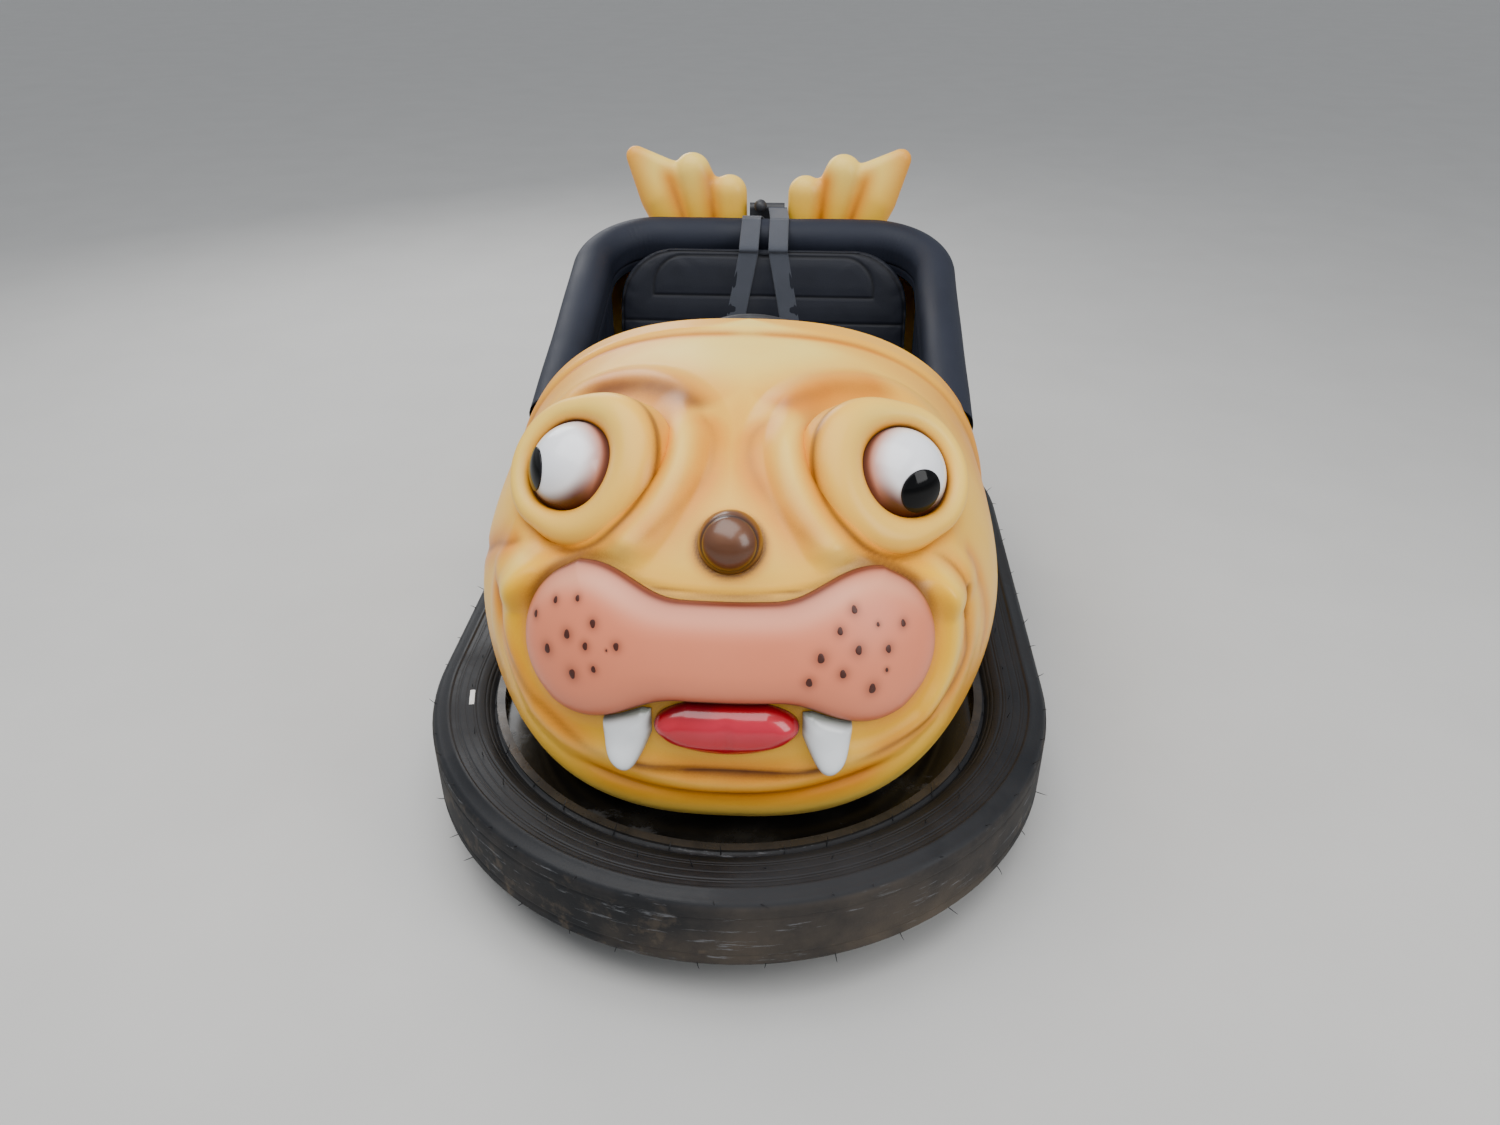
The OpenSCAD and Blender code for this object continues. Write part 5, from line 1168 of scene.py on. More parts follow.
# Painted highlight on the tongue's upper half; painted shade round its edge and near its top left under the pad
mask(tongue, "pale_highlight", spread(0.5 * ramp(TP, 3.6, 5.2) * ramp(inset, 0.3, 1.3) * (1 - 0.5 * bell(TF + 5, 2.4))))
mask(tongue, "tongue_shade", spread(0.8 * bell(inset, 0.4) + 0.6 * bell(TP - 6.9, 0.7) * ramp(-TF, 0, 3)))
crimson, tree, shader = material("tongue_crimson", 0.2, coat_weight=0.5, coat_roughness=0.06)
red = tint(tree, clouds(tree, 20.0), rgb(172, 0, 22), rgb(188, 4, 32))
# Tints of painted highlight and painted shade on the crimson
red = tint(tree, reading(tree, "pale_highlight"), red, rgb(214, 44, 74))
red = tint(tree, reading(tree, "tongue_shade"), red, rgb(112, 6, 22))
tree.links.new(red, shader["Base Color"])
relief(tree, shader, clouds(tree, 60.0, 3.0), 0.5 * mm, 0.3)
dress(tongue, crimson)

fang_white, tree, shader = material("fang_white", 0.25, coat_weight=0.4, coat_roughness=0.1)
ivory = tint(tree, clouds(tree, 30.0), rgb(244, 246, 247), rgb(234, 238, 241))
# Grey is painted shade on the white fang
ivory = tint(tree, reading(tree, "grey"), ivory, rgb(142, 148, 140))
tree.links.new(ivory, shader["Base Color"])
relief(tree, shader, clouds(tree, 50.0, 2.0), 0.3 * mm, 0.3)
for side, name in ((-1, "left"), (1, "right")):
    fang, spread, _, FP, inset = face_patch(
        "fang_" + name + "_painted", "fang_" + name,
        lambda f, p, s=side: np.maximum(np.maximum(fang_edge(np.maximum(f * s, 0), p), 0.3 - muzzle_edge(f, p)),
                                        0.3 - tongue_edge(f, p)),
        (side * fang_th, 3.1), fang_thick, tooth_gap, 2.2, 60, 70, ridged=True)
    # Painted shade: grey along the fang's edges, at its tip and where it meets the pad
    mask(fang, "grey", spread(0.6 * bell(inset, 0.3) + 0.3 * bell(inset, 0.9)
                              + 0.2 * ramp(-FP, 0.8, 2.6) + 0.3 * ramp(FP, 4.4, 6)))
    dress(fang, fang_white)

# Nose: a brown plastic ball pushed into a hole above the muzzle. Painted shade darkens a ring round its
# foot and its flanks, and a painted highlight makes its top a little paler.
nose_low, nose_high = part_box("nose")
nose_r = (nose_high.x - nose_low.x) / 2
nose_middle = np.array((nose_low + nose_high) / 2)
nose_out = way(face_turn, 25.6)
nose_side = np.array([cos(face_turn), sin(face_turn), 0])
nose_up = np.cross(nose_side, nose_out) * -1
nose_sides = 96
polar = np.linspace(0.5, 118, 70)
PO, AR = np.meshgrid(polar, 360 * np.arange(nose_sides) / nose_sides, indexing="ij")
swell = nose_r + 3 * mm - 1.1 * mm * bell(PO - 57, 3.5) + 0.1 * mm * bell(PO - 64, 4)
nose_points = nose_middle + swell[..., None] * (cos(PO)[..., None] * nose_out + sin(PO)[..., None] * (
    cos(AR)[..., None] * nose_side + sin(AR)[..., None] * nose_up))
nose = mesh_piece("nose_ball", nose_points.reshape(-1, 3), grid_faces(len(polar), nose_sides, False, True)
                  + [list(range(nose_sides - 1, -1, -1))])
# Painted shade round the nose's foot and flanks; a painted highlight on its top
mask(nose, "ring", 0.9 * bell(PO - 57, 4) + 0.55 * ramp(PO, 60, 88))
mask(nose, "top_highlight", 0.5 * bell(PO - 24, 20) * ramp(sin(AR), -0.3, 0.8))
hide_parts("nose")
nose_gloss, tree, shader = material("nose_gloss", 0.3, coat_weight=0.4, coat_roughness=0.18)
leather = tint(tree, clouds(tree, 16.0), rgb(84, 46, 20), rgb(98, 56, 26))
leather = tint(tree, reading(tree, "top_highlight"), leather, rgb(126, 84, 60))
leather = tint(tree, reading(tree, "ring"), leather, rgb(44, 24, 14))
tree.links.new(leather, shader["Base Color"])
grained(tree, shader, 380.0, 0.6, 0.25 * mm, 0.4)
dress(nose, nose_gloss)

# Dashboard, steering column, wheel, toe board and pedal: the black fittings of the driver's place.
# The dashboard is moulded plastic that closes the head behind. The wheel's rim is soft grained foam on steel.
dash_plastic, tree, shader = soiled("dash_plastic", 0.5, (9.0, 0.4, 0.2), (36, 37, 42), (86, 86, 88), 0.3,
                                    ends=(0.42, 0.66))
grained(tree, shader, 420.0, 0.25, 0.35 * mm, 0.7)
dress("dashboard", dash_plastic)
dress("toe_board", dash_plastic)
dress("steering_column", frame_paint)
wheel_foam, tree, shader = soiled("wheel_foam", 0.55, (14.0, 0.45, 0.25), (30, 30, 33), (46, 46, 50),
                                  ends=(0.62, 0.4))
grained(tree, shader, 520.0, 0.2, 0.4 * mm, 0.8)
dress("steering_wheel", wheel_foam)
worn_metal, tree, shader = material("worn_metal", 0.4, metallic=0.8)
scraped = placed(tree, scuffs, scale=20.0, amount=0.6, along=(1.0, 4.0, 1.0))["Mask"]
tree.links.new(tint(tree, scraped, rgb(118, 120, 124), rgb(196, 198, 200)), shader["Base Color"])
tree.links.new(level(tree, scraped, 0.0, 1.0, 0.5, 0.25), shader["Roughness"])
dress("pedal", worn_metal)

# Rear body: one fibreglass moulding that follows the rim and swells behind it, cream enamel like the head.
# Its wall stands on the deck, and its tail carries the two fins.
roll_half_w = 396 * mm
roll_back = 600 * mm
roll_corner = 150 * mm
roll_w = 90 * mm
roll_h = 100 * mm
roll_front_z = 565 * mm
roll_slope = 16
wall_t = 14 * mm
rump = 150 * mm
side_swell = 48 * mm
arch_ahead = -arch_y
shell_half = roll_half_w + 20 * mm
shell_back = roll_back + 20 * mm
shell_corner = roll_corner + 20 * mm
# The wall's section: share of the side's swell, share of the rump and share of the height, from the rim down
wall_rows = np.array([[0, 0, 1], [0.3, 0.3, 1], [0.5, 0.62, 1], [0.62, 0.82, 0.965], [0.8, 0.93, 0.87],
                      [0.95, 1, 0.68], [1, 1, 0.46], [0.92, 0.92, 0.2], [0.6, 0.8, 0.09], [0.3, 0.7, 0]])
deck_r = end_r - tyre_depth - 4.6 * mm
seat_gap = 0.3 * mm


def roll_z(y):
    return roll_front_z + (y + arch_ahead) * math.tan(math.radians(roll_slope))


def wall_at(t):
    """A point and its outward direction along the wall, t from 0 at the right front to 1 at the left front"""
    if t > 0.5:
        (x, y), (nx, ny) = wall_at(1 - t)
        return (-x, y), (-nx, ny)
    if t < 0.15:
        return (shell_half, arch_y + 0.6 * mm + (shell_back - shell_corner + arch_ahead) * t / 0.15), (1, 0)
    if t < 0.35:
        a = 90 * (t - 0.15) / 0.2
        return ((shell_half - shell_corner + shell_corner * cos(a), shell_back - shell_corner + shell_corner * sin(a)),
                (cos(a), sin(a)))
    return ((shell_half - shell_corner) * (0.5 - t) / 0.15, shell_back), (0, 1)


def wall_point(t, row, inner):
    (x, y), (nx, ny) = wall_at(t)
    rear = ny ** 2
    thick = wall_t if inner else 0
    out = side_swell * row[0] * (1 - rear) + rump * row[1] * rear - thick
    px, py = x + out * nx, y + out * ny
    if row[2] < 0.1:
        vx, vy = px, max(py - half_run, 0)
        size = math.hypot(vx, vy)
        most = deck_r - 8 * mm - thick
        if size > most:
            px, py = vx * most / size, (vy * most / size + half_run if py > half_run else py)
    top = roll_z(min(y, py)) - seat_gap
    z = deck_z + seat_gap + (top - deck_z) * row[2] - (thick if row[0] > 0.05 and row[2] > 0.995 else 0)
    return px, py, z


wall_share = np.unique(np.concatenate([np.linspace(0, 0.15, 16), np.linspace(0.15, 0.35, 34),
                                       np.linspace(0.35, 0.5, 16)]))
wall_share = np.concatenate([wall_share, 1 - wall_share[-2::-1]])
fine_rows = np.vstack([wall_rows[:1], smooth_path(wall_rows[1:], 9)])
fine_rows[:, 2] = np.clip(fine_rows[:, 2], 0, 1)
wall_points = np.array([[wall_point(t, row, inner) for row in fine_rows]
                        for inner in (False, True) for t in wall_share])
stations = len(wall_share)
row_count = len(fine_rows)
outside = [q[::-1] for q in grid_faces(stations, row_count)]
inside = grid_faces(stations, row_count, start=stations * row_count)
shift = stations * row_count
edges = []
for i in range(stations - 1):
    a, b = i * row_count, (i + 1) * row_count
    edges += [[a, b, b + shift, a + shift], [a + row_count - 1, a + shift + row_count - 1,
                                             b + shift + row_count - 1, b + row_count - 1]]
for j in range(row_count - 1):
    a, b = j, (stations - 1) * row_count + j
    edges += [[a, a + shift, a + shift + 1, a + 1], [b, b + 1, b + shift + 1, b + shift]]
rear_body = mesh_piece("rear_body_moulding", wall_points.reshape(-1, 3), outside + inside + edges)
# Painted highlight high on the wall, yellow below it, and painted shade in tan and brown at its foot on the deck and
# in tan under the roll
share_up = np.tile(fine_rows[:, 2], 2 * stations)
mask(rear_body, "light", 0.5 * bell(share_up - 0.7, 0.25))
mask(rear_body, "yellow", 0.5 * bell(share_up - 0.3, 0.2))
mask(rear_body, "tan", np.maximum(0.75 * bell(share_up, 0.22), 0.6 * bell(share_up - 1, 0.1)))
mask(rear_body, "brown", 0.35 * bell(share_up, 0.06))
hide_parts("rear_shell")
dress(rear_body, head_enamel)

# Fins: two three-lobed wings, cast with the tail and standing on its shelf. They are enamelled like the head, with
# tan and brown sprayed in between the lobes and a painted highlight on their upper parts and tips.
fin_low, fin_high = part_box("rear_fin_right")
fin_y = (fin_low.y + fin_high.y) / 2
shelf_z = fin_low.z
# Lobes, in mm: foot, tip, tip's height, radius at the tip and foot, and place and height of the web's top beside it
fin_lobes = [[206, 322, 236, 25, 56, 244, 206], [152, 190, 222, 44, 52, 150, 172], [92, 100, 172, 42, 46, 98, 130]]
join_r = 32


def fin_mesh(side):
    """Lobes and the webs between them, each the hull of a few flattened balls (x, height, radius, flatness)"""
    forms = []
    for root_x, tip_x, tip_high, tip_r, root_r, join_x, join_high in fin_lobes:
        forms.append([(root_x, 14, root_r * 0.96, 0.62),
                      ((root_x + tip_x) / 2 - 4, tip_high * 0.5, root_r * 0.94, 0.66),
                      (tip_x - tip_r * 0.2, tip_high - tip_r, tip_r, 0.7), (join_x, join_high - join_r, join_r, 0.7)])
    for (root_x, *_, root_r, join_x, join_high), (next_x, *_, next_r, _, _) in zip(fin_lobes, fin_lobes[1:]):
        forms.append([(root_x, 14, root_r * 0.85, 0.56), (next_x, 14, next_r * 0.85, 0.56),
                      (join_x, join_high - 34, 34, 0.62), (join_x - 40, join_high - 44, 34, 0.62)])
    made = bmesh.new()
    for form in forms:
        before = set(made.verts)
        for x, z, r, flat in form:
            place = Matrix.Translation((side * x * mm, fin_y, shelf_z + z * mm)) @ Matrix.Diagonal((1, flat, 1, 1))
            bmesh.ops.create_uvsphere(made, u_segments=28, v_segments=18, radius=r * mm, matrix=place)
        fresh = [v for v in made.verts if v not in before]
        hull = bmesh.ops.convex_hull(made, input=fresh)
        hidden = [g for g in hull["geom_interior"] if isinstance(g, bmesh.types.BMVert)]
        bmesh.ops.delete(made, geom=hidden, context="VERTS")
    mesh = bpy.data.meshes.new("fin")
    made.to_mesh(mesh)
    made.free()
    return mesh


def applied(piece, *kinds):
    """Adds modifiers to a piece, each (kind, settings), and keeps their result as its mesh"""
    for kind, settings in kinds:
        modifier = piece.modifiers.new(kind.lower(), kind)
        for key, value in settings.items():
            setattr(modifier, key, value)
    bpy.context.view_layer.update()
    result = bpy.data.meshes.new_from_object(piece.evaluated_get(bpy.context.evaluated_depsgraph_get()))
    piece.modifiers.clear()
    piece.data = result
    result.shade_smooth()


def points_of(piece):
    co = np.empty(len(piece.data.vertices) * 3)
    piece.data.vertices.foreach_get("co", co)
    return co.reshape(-1, 3)


for side, name in ((-1, "left"), (1, "right")):
    fin = bpy.data.objects.new("fin_" + name + "_moulded", fin_mesh(side))
    bpy.context.scene.collection.objects.link(fin)
    applied(fin, ("REMESH", {"mode": "VOXEL", "voxel_size": 3.2 * mm}), ("SMOOTH", {"factor": 0.5, "iterations": 20}))
    co = points_of(fin)
    co[:, 2] = np.maximum(co[:, 2], shelf_z + 0.2 * mm)
    fin.data.vertices.foreach_set("co", co.ravel())
    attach(fin, "car")
    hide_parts("rear_fin_" + name)
    spine_x = [[length * mm for length in lobe_row[:3]] for lobe_row in fin_lobes]
    x, z = side * co[:, 0], co[:, 2] - shelf_z
    middles = np.array([r + (t - r) * z / h for r, t, h in spine_x])
    nearest = np.sort(np.abs(middles - x[None]), axis=0)
    between = nearest[1] - nearest[0]
    mask(fin, "brown", 0.55 * bell(between, 14 * mm) * ramp(190 * mm - z, 0, 50 * mm)
         * (0.4 + 0.6 * ramp(140 * mm - z, 0, 100 * mm)))
    mask(fin, "tan", np.maximum(0.9 * bell(between, 44 * mm) * ramp(210 * mm - z, 0, 50 * mm),
                                0.8 * ramp(x, 260 * mm, 340 * mm)))
    mask(fin, "yellow", 0.7 * ramp(130 * mm - z, 0, 120 * mm))
    # Painted highlight on the upper parts and tips
    mask(fin, "light", 0.75 * ramp(z, 100 * mm, 200 * mm))
    dress(fin, head_enamel)

# Padded rim: a D-shaped roll of foam in charcoal vinyl, screwed down on the wall's top edge. The vinyl is seamed
# along the roll's inner side, piped at its outer foot, and gathers a little in the bends.
roll_len = (roll_back + arch_ahead) / math.cos(math.radians(roll_slope))
roll_run = roll_len - roll_corner


def upholstery(name, shine, tone_scale, tones, patch, rub_share, rubbed_tone, seam_tone, ends):
    """Grained vinyl in two close tones, paler and duller where it is rubbed, and dark in the seams that the piece's
    mask gives. Patch is the rubbed places' scale and amount."""
    made, tree, shader = material(name, 0.6, specular_ior_level=shine)
    rubbed = placed(tree, dust, scale=patch[0], amount=patch[1], softness=0.3)["Mask"]
    hide = tint(tree, clouds(tree, tone_scale), *(rgb(*tone) for tone in tones))
    hide = tint(tree, sums(tree, "MULTIPLY", rubbed, rub_share), hide, rgb(*rubbed_tone))
    hide = tint(tree, reading(tree, "seam"), hide, rgb(*seam_tone))
    tree.links.new(hide, shader["Base Color"])
    tree.links.new(level(tree, rubbed, 0.0, 1.0, *ends), shader["Roughness"])
    grained(tree, shader, 640.0, 0.35, 0.35 * mm, 0.75)
    return made


vinyl = upholstery("vinyl", 0.22, 5.0, ((28, 31, 41), (37, 41, 53)), (6.0, 0.45), 0.35, (54, 58, 70), (16, 17, 22),
                   (0.5, 0.66))


def in_rim(x, s, h):
    """A place on the sloping plane of the rim: across, back along the slope, and up from it"""
    slope = math.radians(roll_slope)
    return np.stack([x, -arch_ahead + s * math.cos(slope) - h * math.sin(slope),
                     roll_front_z + s * math.sin(slope) + h * math.cos(slope)], -1)


# The roll's section, across and up: a flat foot, straight sides and a round top. Points lie close at the seam
# and at the piping.
seam_up = 22 * mm
piping_up = 5 * mm
roll_clear = 0.6 * mm
section = [(-roll_w / 2 + 3 * mm, 0.4 * mm)]
section += [(-roll_w / 2 + 0.7 * mm, h * mm) for h in (2, 5, 9, 14, 18, 20.5, 22, 23.5, 26, 31, 38, 46, 53)]
section += [(-(roll_w / 2 - roll_clear) * math.cos(a),
             roll_h - roll_w / 2 + (roll_w / 2 - roll_clear) * math.sin(a))
            for a in np.linspace(0.04, math.pi - 0.04, 34)]
section += [(roll_w / 2 - 0.7 * mm, h * mm) for h in (53, 46, 38, 30, 22, 15, 10, 7, 5, 3.5, 2)]
section = np.array(section + [(roll_w / 2 - 3 * mm, 0.4 * mm), (20 * mm, 0.4 * mm), (-20 * mm, 0.4 * mm)])
u, h = section[:, 0], section[:, 1]
around = len(section)
half_path = [(roll_half_w, s, 1, 0, 0) for s in np.linspace(0, roll_run, 70, endpoint=False)]
half_path += [(roll_half_w - roll_corner + roll_corner * math.cos(a), roll_run + roll_corner * math.sin(a),
               math.cos(a), math.sin(a), math.sin(2 * a)) for a in np.linspace(0, math.pi / 2, 46)]
half_path += [(x, roll_len, 0, 1, 0) for x in np.linspace(roll_half_w - roll_corner, 0, 40)[1:]]
path = np.array(half_path + [(-x, s, -nx, ny, c) for x, s, nx, ny, c in half_path[-2::-1]])
rounds = len(path)
X, S, NX, NY, bend = (path[:, k][:, None] for k in range(5))
step = np.hypot(np.diff(path[:, 0], prepend=path[0, 0]), np.diff(path[:, 1], prepend=path[0, 1]))
run = np.cumsum(step)[:, None]
inner = ramp(-u, 5 * mm, 30 * mm)[None]
flat = ramp(h, 0, 6 * mm)[None]
soft = (0.7 * np.sin(run * 9.1 + 1.3) + 0.5 * np.sin(run * 23.7) * np.sin(u / (30 * mm) + 1)[None]) * mm
gather = -1.6 * mm * bend * inner * np.sin(run * 240 + 1.5 * np.sin(run * 31)) ** 2
groove = -2.6 * mm * bell(h - seam_up, 1.6 * mm)[None] * (u < 0)[None]
piping = 1.6 * mm * bell(h - piping_up, 2 * mm)[None] * (u > 30 * mm)[None]
swell = (np.minimum(soft - 0.7 * mm, 0) + gather + groove) * flat
roll_top = roll_h - roll_w / 2
sideways = (np.cos(np.arctan2(h - roll_top, u))[None] * swell
            + np.sign(u)[None] * np.minimum(piping, roll_clear))
upwards = np.sin(np.arctan2(np.maximum(h - roll_top, 0), u))[None] * swell
across = u[None] + sideways
above = h[None] + upwards
rim_points = in_rim(X + NX * across, S + NY * across, above)
for k in (0, rounds - 1):
    slope = math.radians(roll_slope)
    rim_points[k] = in_rim(X[k] + NX[k] * across[k],
                           (roll_clear + above[k] * math.sin(slope)) / math.cos(slope), above[k])
faces = grid_faces(rounds, around, False, True)
faces += [list(range(around)), [rounds * around - 1 - k for k in range(around)]]
rim = mesh_piece("rim_roll_vinyl", rim_points.reshape(-1, 3), faces)
mask(rim, "seam", np.tile(0.85 * bell(h - seam_up, 2.2 * mm) * (u < 0), rounds))
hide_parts("rim_roll")
dress(rim, vinyl)

# Side pads: flat vinyl panels on thin foam along the inside of the wall. Sewn channels run upright, and the foam
# rounds off towards every edge.
pad_t = 26 * mm
pad_back = 470 * mm
pad_round = 14 * mm
channel_step = 108 * mm
pad_x = roll_half_w - roll_w / 2 + 6 * mm
pad_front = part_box("side_pads")[0].y
ys = np.linspace(pad_front + 0.5 * mm, pad_back - 0.5 * mm, 150)
ups = np.unique(np.concatenate([np.linspace(0, 0.05, 8), np.linspace(0.05, 0.95, 40), np.linspace(0.95, 1, 8)]))
Y, UP = np.meshgrid(ys, ups, indexing="ij")
top = roll_z(Y) - 0.7 * mm
Z = deck_z + 0.7 * mm + (top - deck_z - 0.7 * mm) * UP
edge = np.minimum(np.minimum(Y - ys[0], ys[-1] - Y), np.minimum(Z - deck_z - 0.7 * mm, top - Z))
channel = np.abs((Y - ys[0]) / channel_step - np.round((Y - ys[0]) / channel_step)) * channel_step
puff = 9 * mm * (1 - np.sqrt(1 - (1 - np.clip(edge / pad_round, 0, 1)) ** 2)) + 4 * mm * bell(channel, 9 * mm)
pads = []
for side in (-1, 1):
    face = np.stack([side * (pad_x + puff), Y, Z], -1)
    back = np.stack([np.full(Y.shape, side * (pad_x + pad_t - 0.2 * mm)), Y, Z], -1)
    count = len(ys) * len(ups)
    faces = grid_faces(len(ys), len(ups)) + [q[::-1] for q in grid_faces(len(ys), len(ups), start=count)]
    ring = [i * len(ups) for i in range(len(ys))] + list(range((len(ys) - 1) * len(ups) + 1, len(ys) * len(ups)))
    ring += [i * len(ups) + len(ups) - 1 for i in range(len(ys) - 2, -1, -1)] + list(range(len(ups) - 2, 0, -1))
    faces += [[a, a + count, b + count, b] for a, b in zip(ring, ring[1:] + ring[:1])]
    pads.append((np.vstack([face.reshape(-1, 3), back.reshape(-1, 3)]), one_sided(faces, -side)))
pads_made = mesh_piece("side_pads_vinyl", *joined(pads))
mask(pads_made, "seam", np.tile(np.concatenate([(0.8 * bell(channel, 1.6 * mm)).ravel(), np.zeros(Y.size)]), 2))
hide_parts("side_pads")
dress(pads_made, vinyl)

# Seat cushion and back rest: foam in black-blue vinyl. Each is swelled by a cloth simulation and then drawn in
# along its seams. The back has a seam inside its edge, one raised panel across both places, and a low seam.
seat_half = 345 * mm
seat_z = 450 * mm
seat_front = 175 * mm
back_foot = 410 * mm
back_high = 812 * mm
back_t = 46 * mm
back_corner = 135 * mm
back_down = 60 * mm
recline = 12
panel_half = 257 * mm
panel_low, panel_high = 258 * mm, 349 * mm
panel_corner = 73 * mm
low_seam = 198 * mm
welt_down = 26 * mm
cloth_frames = 20
back_len = (back_high - seat_z) / math.cos(math.radians(recline))


def normals_of(piece):
    out = np.empty(len(piece.data.vertices) * 3)
    piece.data.vertices.foreach_get("normal", out)
    return out.reshape(-1, 3)


def stuffed(name, mesh, voxel, start, cap):
    """A cushion's plain form remeshed, shrunk by start, then swelled by cloth pressure, each point by cap at most"""
    piece = bpy.data.objects.new(name, mesh)
    bpy.context.scene.collection.objects.link(piece)
    applied(piece, ("REMESH", {"mode": "VOXEL", "voxel_size": voxel}), ("SMOOTH", {"factor": 0.5, "iterations": 6}))
    full = points_of(piece)
    small = full - start * normals_of(piece)
    piece.data.vertices.foreach_set("co", small.ravel())
    cloth = piece.modifiers.new("stuffing", "CLOTH")
    cloth.settings.use_pressure = True
    cloth.settings.uniform_pressure_force = 4.0
    cloth.settings.effector_weights.gravity = 0
    cloth.point_cache.frame_start, cloth.point_cache.frame_end = 1, cloth_frames
    for frame_number in range(1, cloth_frames + 1):
        bpy.context.scene.frame_set(frame_number)
    swelled = piece.evaluated_get(bpy.context.evaluated_depsgraph_get())
    moved = np.empty(len(full) * 3)
    swelled.data.vertices.foreach_get("co", moved)
    moved = moved.reshape(-1, 3) - small
    size = np.linalg.norm(moved, axis=1, keepdims=True)
    small = small + moved * np.minimum(1, cap / np.maximum(size, 1e-9))
    piece.modifiers.clear()
    bpy.context.scene.frame_set(1)
    piece.data.vertices.foreach_set("co", small.ravel())
    applied(piece, ("SUBSURF", {"levels": 1}))
    return piece


def pressed_in(piece, depth):
    """Moves each point inward along its normal"""
    co = points_of(piece) - depth[:, None] * normals_of(piece)
    piece.data.vertices.foreach_set("co", co.ravel())
    piece.data.update()


def panel_edge(x, v, half, low, high, corner):
    """How far outside a panel with two round upper corners a place lies"""
    side, over = np.abs(x) - half + corner, v - high + corner
    rounded = np.where((side > 0) & (over > 0), np.hypot(side, over) - corner, np.maximum(side, over) - corner)
    return np.maximum(rounded, low - v)


lean = math.radians(recline)
facing = [(-seat_half, -back_down), (seat_half, -back_down)]
facing += arc((seat_half - back_corner, back_len - back_corner), back_corner, 0, 90, 12)
facing += arc((back_corner - seat_half, back_len - back_corner), back_corner, 90, 180, 12)
facing = np.array([(x, v, w) for w in (0, -back_t) for x, v in facing])
placed_facing = np.stack([facing[:, 0],
                          back_foot + facing[:, 1] * math.sin(lean) - facing[:, 2] * math.cos(lean),
                          seat_z + facing[:, 1] * math.cos(lean) + facing[:, 2] * math.sin(lean)], -1)
corners = len(facing) // 2
plain_back = bpy.data.meshes.new("seat_back_form")
sides = [[k, (k + 1) % corners, corners + (k + 1) % corners, corners + k] for k in range(corners)]
plain_back.from_pydata(placed_facing.tolist(), [],
                       [list(range(corners))[::-1], list(range(corners, 2 * corners))] + sides)
rest = stuffed("seat_back_vinyl", plain_back, 7.5 * mm, 3 * mm, 5 * mm)
co = points_of(rest)
v = (co[:, 1] - back_foot) * math.sin(lean) + (co[:, 2] - seat_z) * math.cos(lean)
w = -(co[:, 1] - back_foot) * math.cos(lean) + (co[:, 2] - seat_z) * math.sin(lean)
seams = [panel_edge(co[:, 0], v, seat_half - 13 * mm, -1, back_len - 12 * mm, back_corner),
         panel_edge(co[:, 0], v, panel_half, panel_low, panel_high, panel_corner),
         np.where(np.abs(co[:, 0]) < seat_half - 13 * mm, v - low_seam, 1.0)]
near = np.min(np.abs(seams), axis=0)
front = ramp(w, -24 * mm, -12 * mm)
pressed_in(rest, front * (2.6 * mm * bell(near, 2.4 * mm) - 1.2 * mm * ramp(near, 0, 26 * mm)
                          + 9 * mm * bell(co[:, 0], 30 * mm)))
mask(rest, "seam", front * 0.8 * bell(near, 2.4 * mm))
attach(rest, "car")
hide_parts("seat_back")

plain_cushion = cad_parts["seat_cushion"].data.copy()
cushion = stuffed("seat_cushion_vinyl", plain_cushion, 7.5 * mm, 4 * mm, 7 * mm)
co = points_of(cushion)
welt = np.minimum(np.abs(co[:, 2] - seat_z + welt_down), 1.0)
middle = np.abs(co[:, 0])
upper = ramp(co[:, 2], seat_z - 24 * mm, seat_z - 8 * mm)
fore = ramp(-co[:, 1], -seat_front - 20 * mm, -seat_front - 4 * mm) * (1 - upper)
pressed_in(cushion, 3 * mm * bell(middle, 4 * mm) * upper + 2.4 * mm * bell(welt, 2.4 * mm) * fore
           - 4 * mm * upper * ramp(middle, 0, 60 * mm) * ramp(seat_half - middle, 0, 50 * mm)
           * ramp(co[:, 1] - seat_front, 0, 50 * mm) * ramp(back_foot - co[:, 1], 0, 50 * mm))
mask(cushion, "seam", np.maximum(0.7 * bell(middle, 2.4 * mm) * upper, 0.7 * bell(welt, 2.0 * mm) * fore))
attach(cushion, "car")
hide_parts("seat_cushion")
dark_vinyl = upholstery("dark_vinyl", 0.3, 6.0, ((20, 22, 30), (27, 30, 40)), (7.0, 0.4), 0.3, (48, 52, 63),
                        (9, 9, 12), (0.54, 0.7))
dress(rest, dark_vinyl)
dress(cushion, dark_vinyl)
dress("seat_box", dash_plastic)

# Battery: a sealed block in dark grey plastic that stands on the deck inside the seat box. Only its weight and
# its place matter, since the box hides it.
battery_plastic, tree, shader = soiled("battery_plastic", 0.5, (12.0, 0.5, 0.2), (44, 46, 50), (78, 78, 78))
grained(tree, shader, 400.0, 0.2, 0.2 * mm, 0.5)
dress("battery", battery_plastic)

# Belts: two straps of slate-blue webbing from the guide behind the roll, over the padded rim and down the back
# rest, where they spread towards the riders' hips. Their edges are woven a little thinner.
strap_t = 3 * mm
rib_pitch = 2.1 * mm
pick_pitch = 1.7 * mm
guide_top = 884 * mm
slope = math.radians(roll_slope)
roll_mid = np.array([roll_back - roll_top * math.sin(slope), roll_z(roll_back) + roll_top * math.cos(slope)])
strap_r = (roll_w / 2 + 0.3 * mm) * 1.017


def touch(p, sign):
    """The angle round the roll at which a straight run from a point meets it"""
    off = np.array(p) - roll_mid
    return math.atan2(off[1], off[0]) + sign * math.acos(strap_r / np.linalg.norm(off))


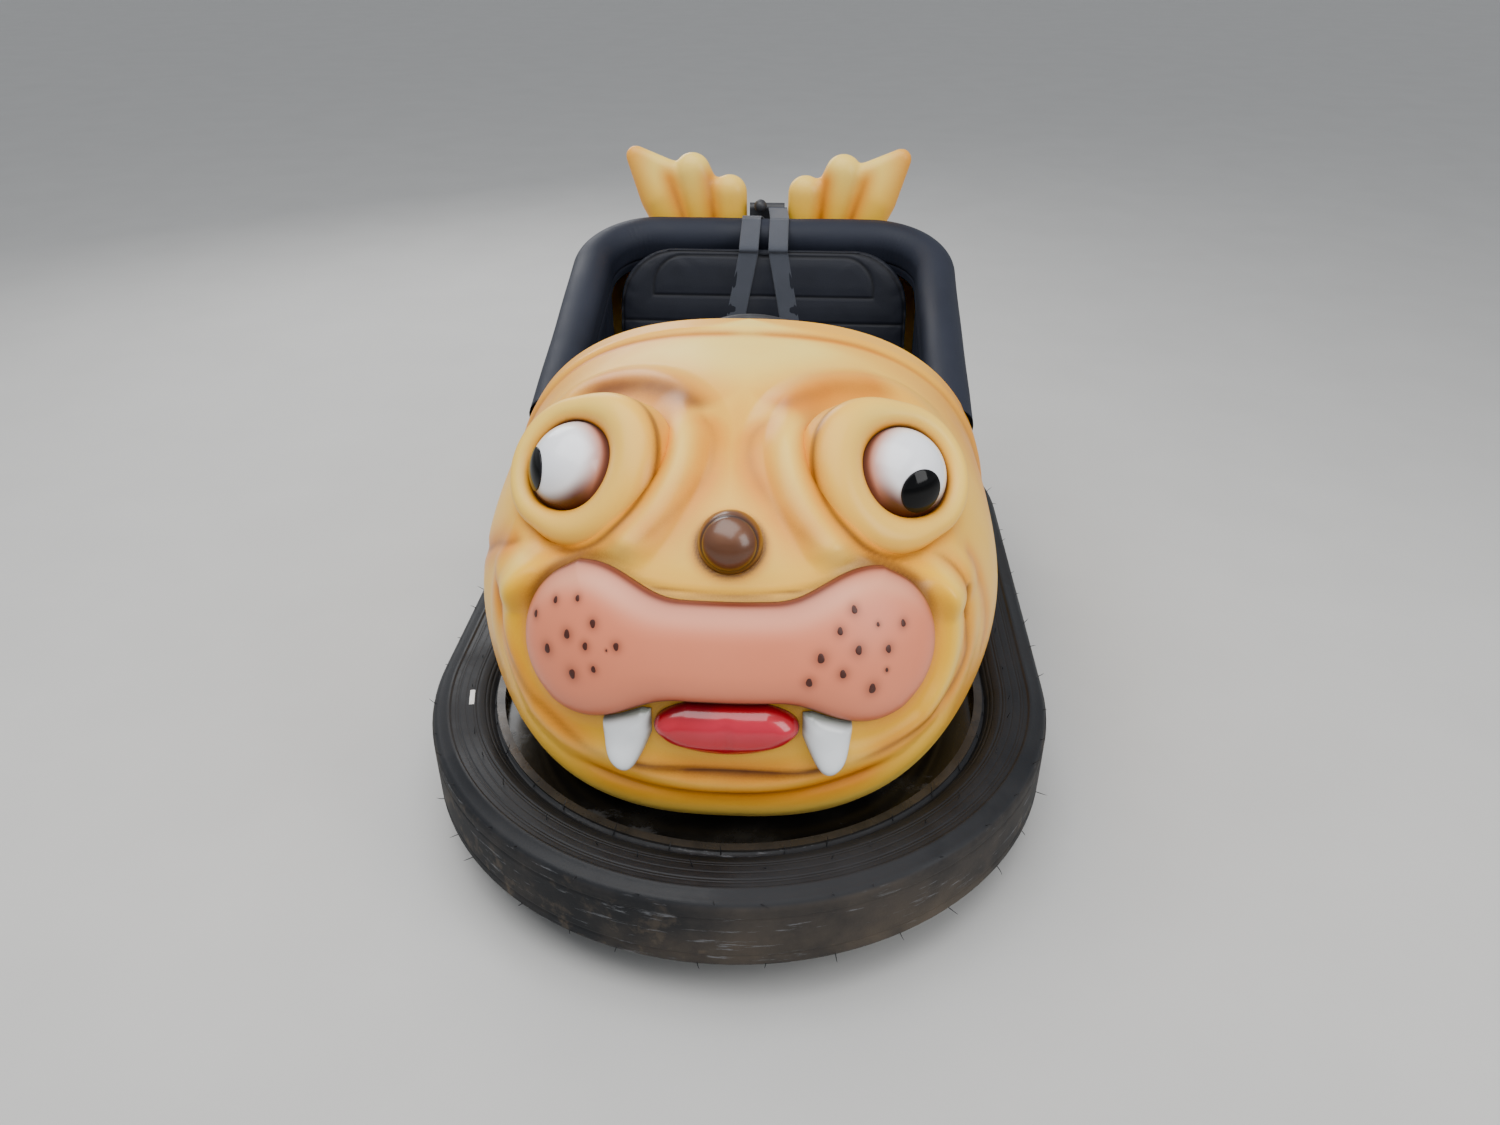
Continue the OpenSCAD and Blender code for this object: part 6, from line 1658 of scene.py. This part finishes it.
def back_point(up):
    return np.array([back_foot, seat_z]) + up * np.array([math.sin(lean), math.cos(lean)]) \
        + 0.3 * mm * np.array([-math.cos(lean), math.sin(lean)])


webbing, tree, shader = material("webbing", 0.7, sheen_weight=0.25)
length_way, width_way = reading(tree, "along"), reading(tree, "across")
ribs = sums(tree, "SINE", sums(tree, "MULTIPLY", width_way, 2 * math.pi / rib_pitch))
picks = sums(tree, "SINE", sums(tree, "MULTIPLY", length_way, 2 * math.pi / pick_pitch))
weave = level(tree, sums(tree, "MULTIPLY", ribs, picks), -1.0, 1.0)
cloth_tone = tint(tree, weave, rgb(38, 42, 51), rgb(58, 63, 75))
cloth_tone = tint(tree, sums(tree, "MULTIPLY", clouds(tree, 20.0), 0.35), cloth_tone, rgb(84, 88, 98))
tree.links.new(cloth_tone, shader["Base Color"])
relief(tree, shader, weave, 0.35 * mm, 0.8)
over_back = back_point(back_len) + np.array([0, 0.3 * mm])
a_back = touch(over_back, -1)
for side, name in ((-1, "left"), (1, "right")):
    end = np.array([shell_back + 30 * mm - strap_t, guide_top - (50 if side < 0 else 22) * mm])
    a_end = touch(end, 1)
    stops = [(*back_point((8 + (back_len / mm - 24) * k / 10) * mm), (102 - 67 * k / 10) * mm)
             for k in range(11)]
    stops += [(*over_back, 34 * mm)]
    for k in range(11):
        a = a_back + (a_end - a_back) * k / 10
        stops.append((*(roll_mid + strap_r * np.array([math.cos(a), math.sin(a)])), 33 * mm))
    stops.append((*end, 26 * mm))
    line = smooth_path(stops, 7)
    ahead = np.gradient(line[:, :2], axis=0)
    ahead /= np.linalg.norm(ahead, axis=1, keepdims=True)
    out = np.stack([-ahead[:, 1], ahead[:, 0]], 1)
    run = np.concatenate([[0], np.cumsum(np.linalg.norm(np.diff(line[:, :2], axis=0), axis=1))])
    u = np.concatenate([np.linspace(-22, 22, 13), [22.5], np.linspace(22, -22, 13), [-22.5]]) * mm
    h = np.concatenate([np.full(13, 2.8), [1.5], np.full(13, 0.15), [1.5]]) * mm
    h = h + np.where(h > 2 * mm, -0.35 * mm * bell(np.abs(u) - 19 * mm, 1.2 * mm), 0)
    strap = np.stack([side * line[:, 2][:, None] + u[None],
                      line[:, 0][:, None] + out[:, :1] * h[None],
                      line[:, 1][:, None] + out[:, 1:] * h[None]], -1)
    columns_in = len(u)
    faces = grid_faces(len(line), columns_in, False, True)
    faces += [list(range(columns_in)), [len(line) * columns_in - 1 - k for k in range(columns_in)]]
    belt = mesh_piece("belt_" + name + "_webbing", strap.reshape(-1, 3), faces)
    mask(belt, "along", np.repeat(run, columns_in))
    mask(belt, "across", np.tile(u, len(line)))
    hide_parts("belt_" + name)
    dress(belt, webbing)
dress("belt_guide", dash_plastic)
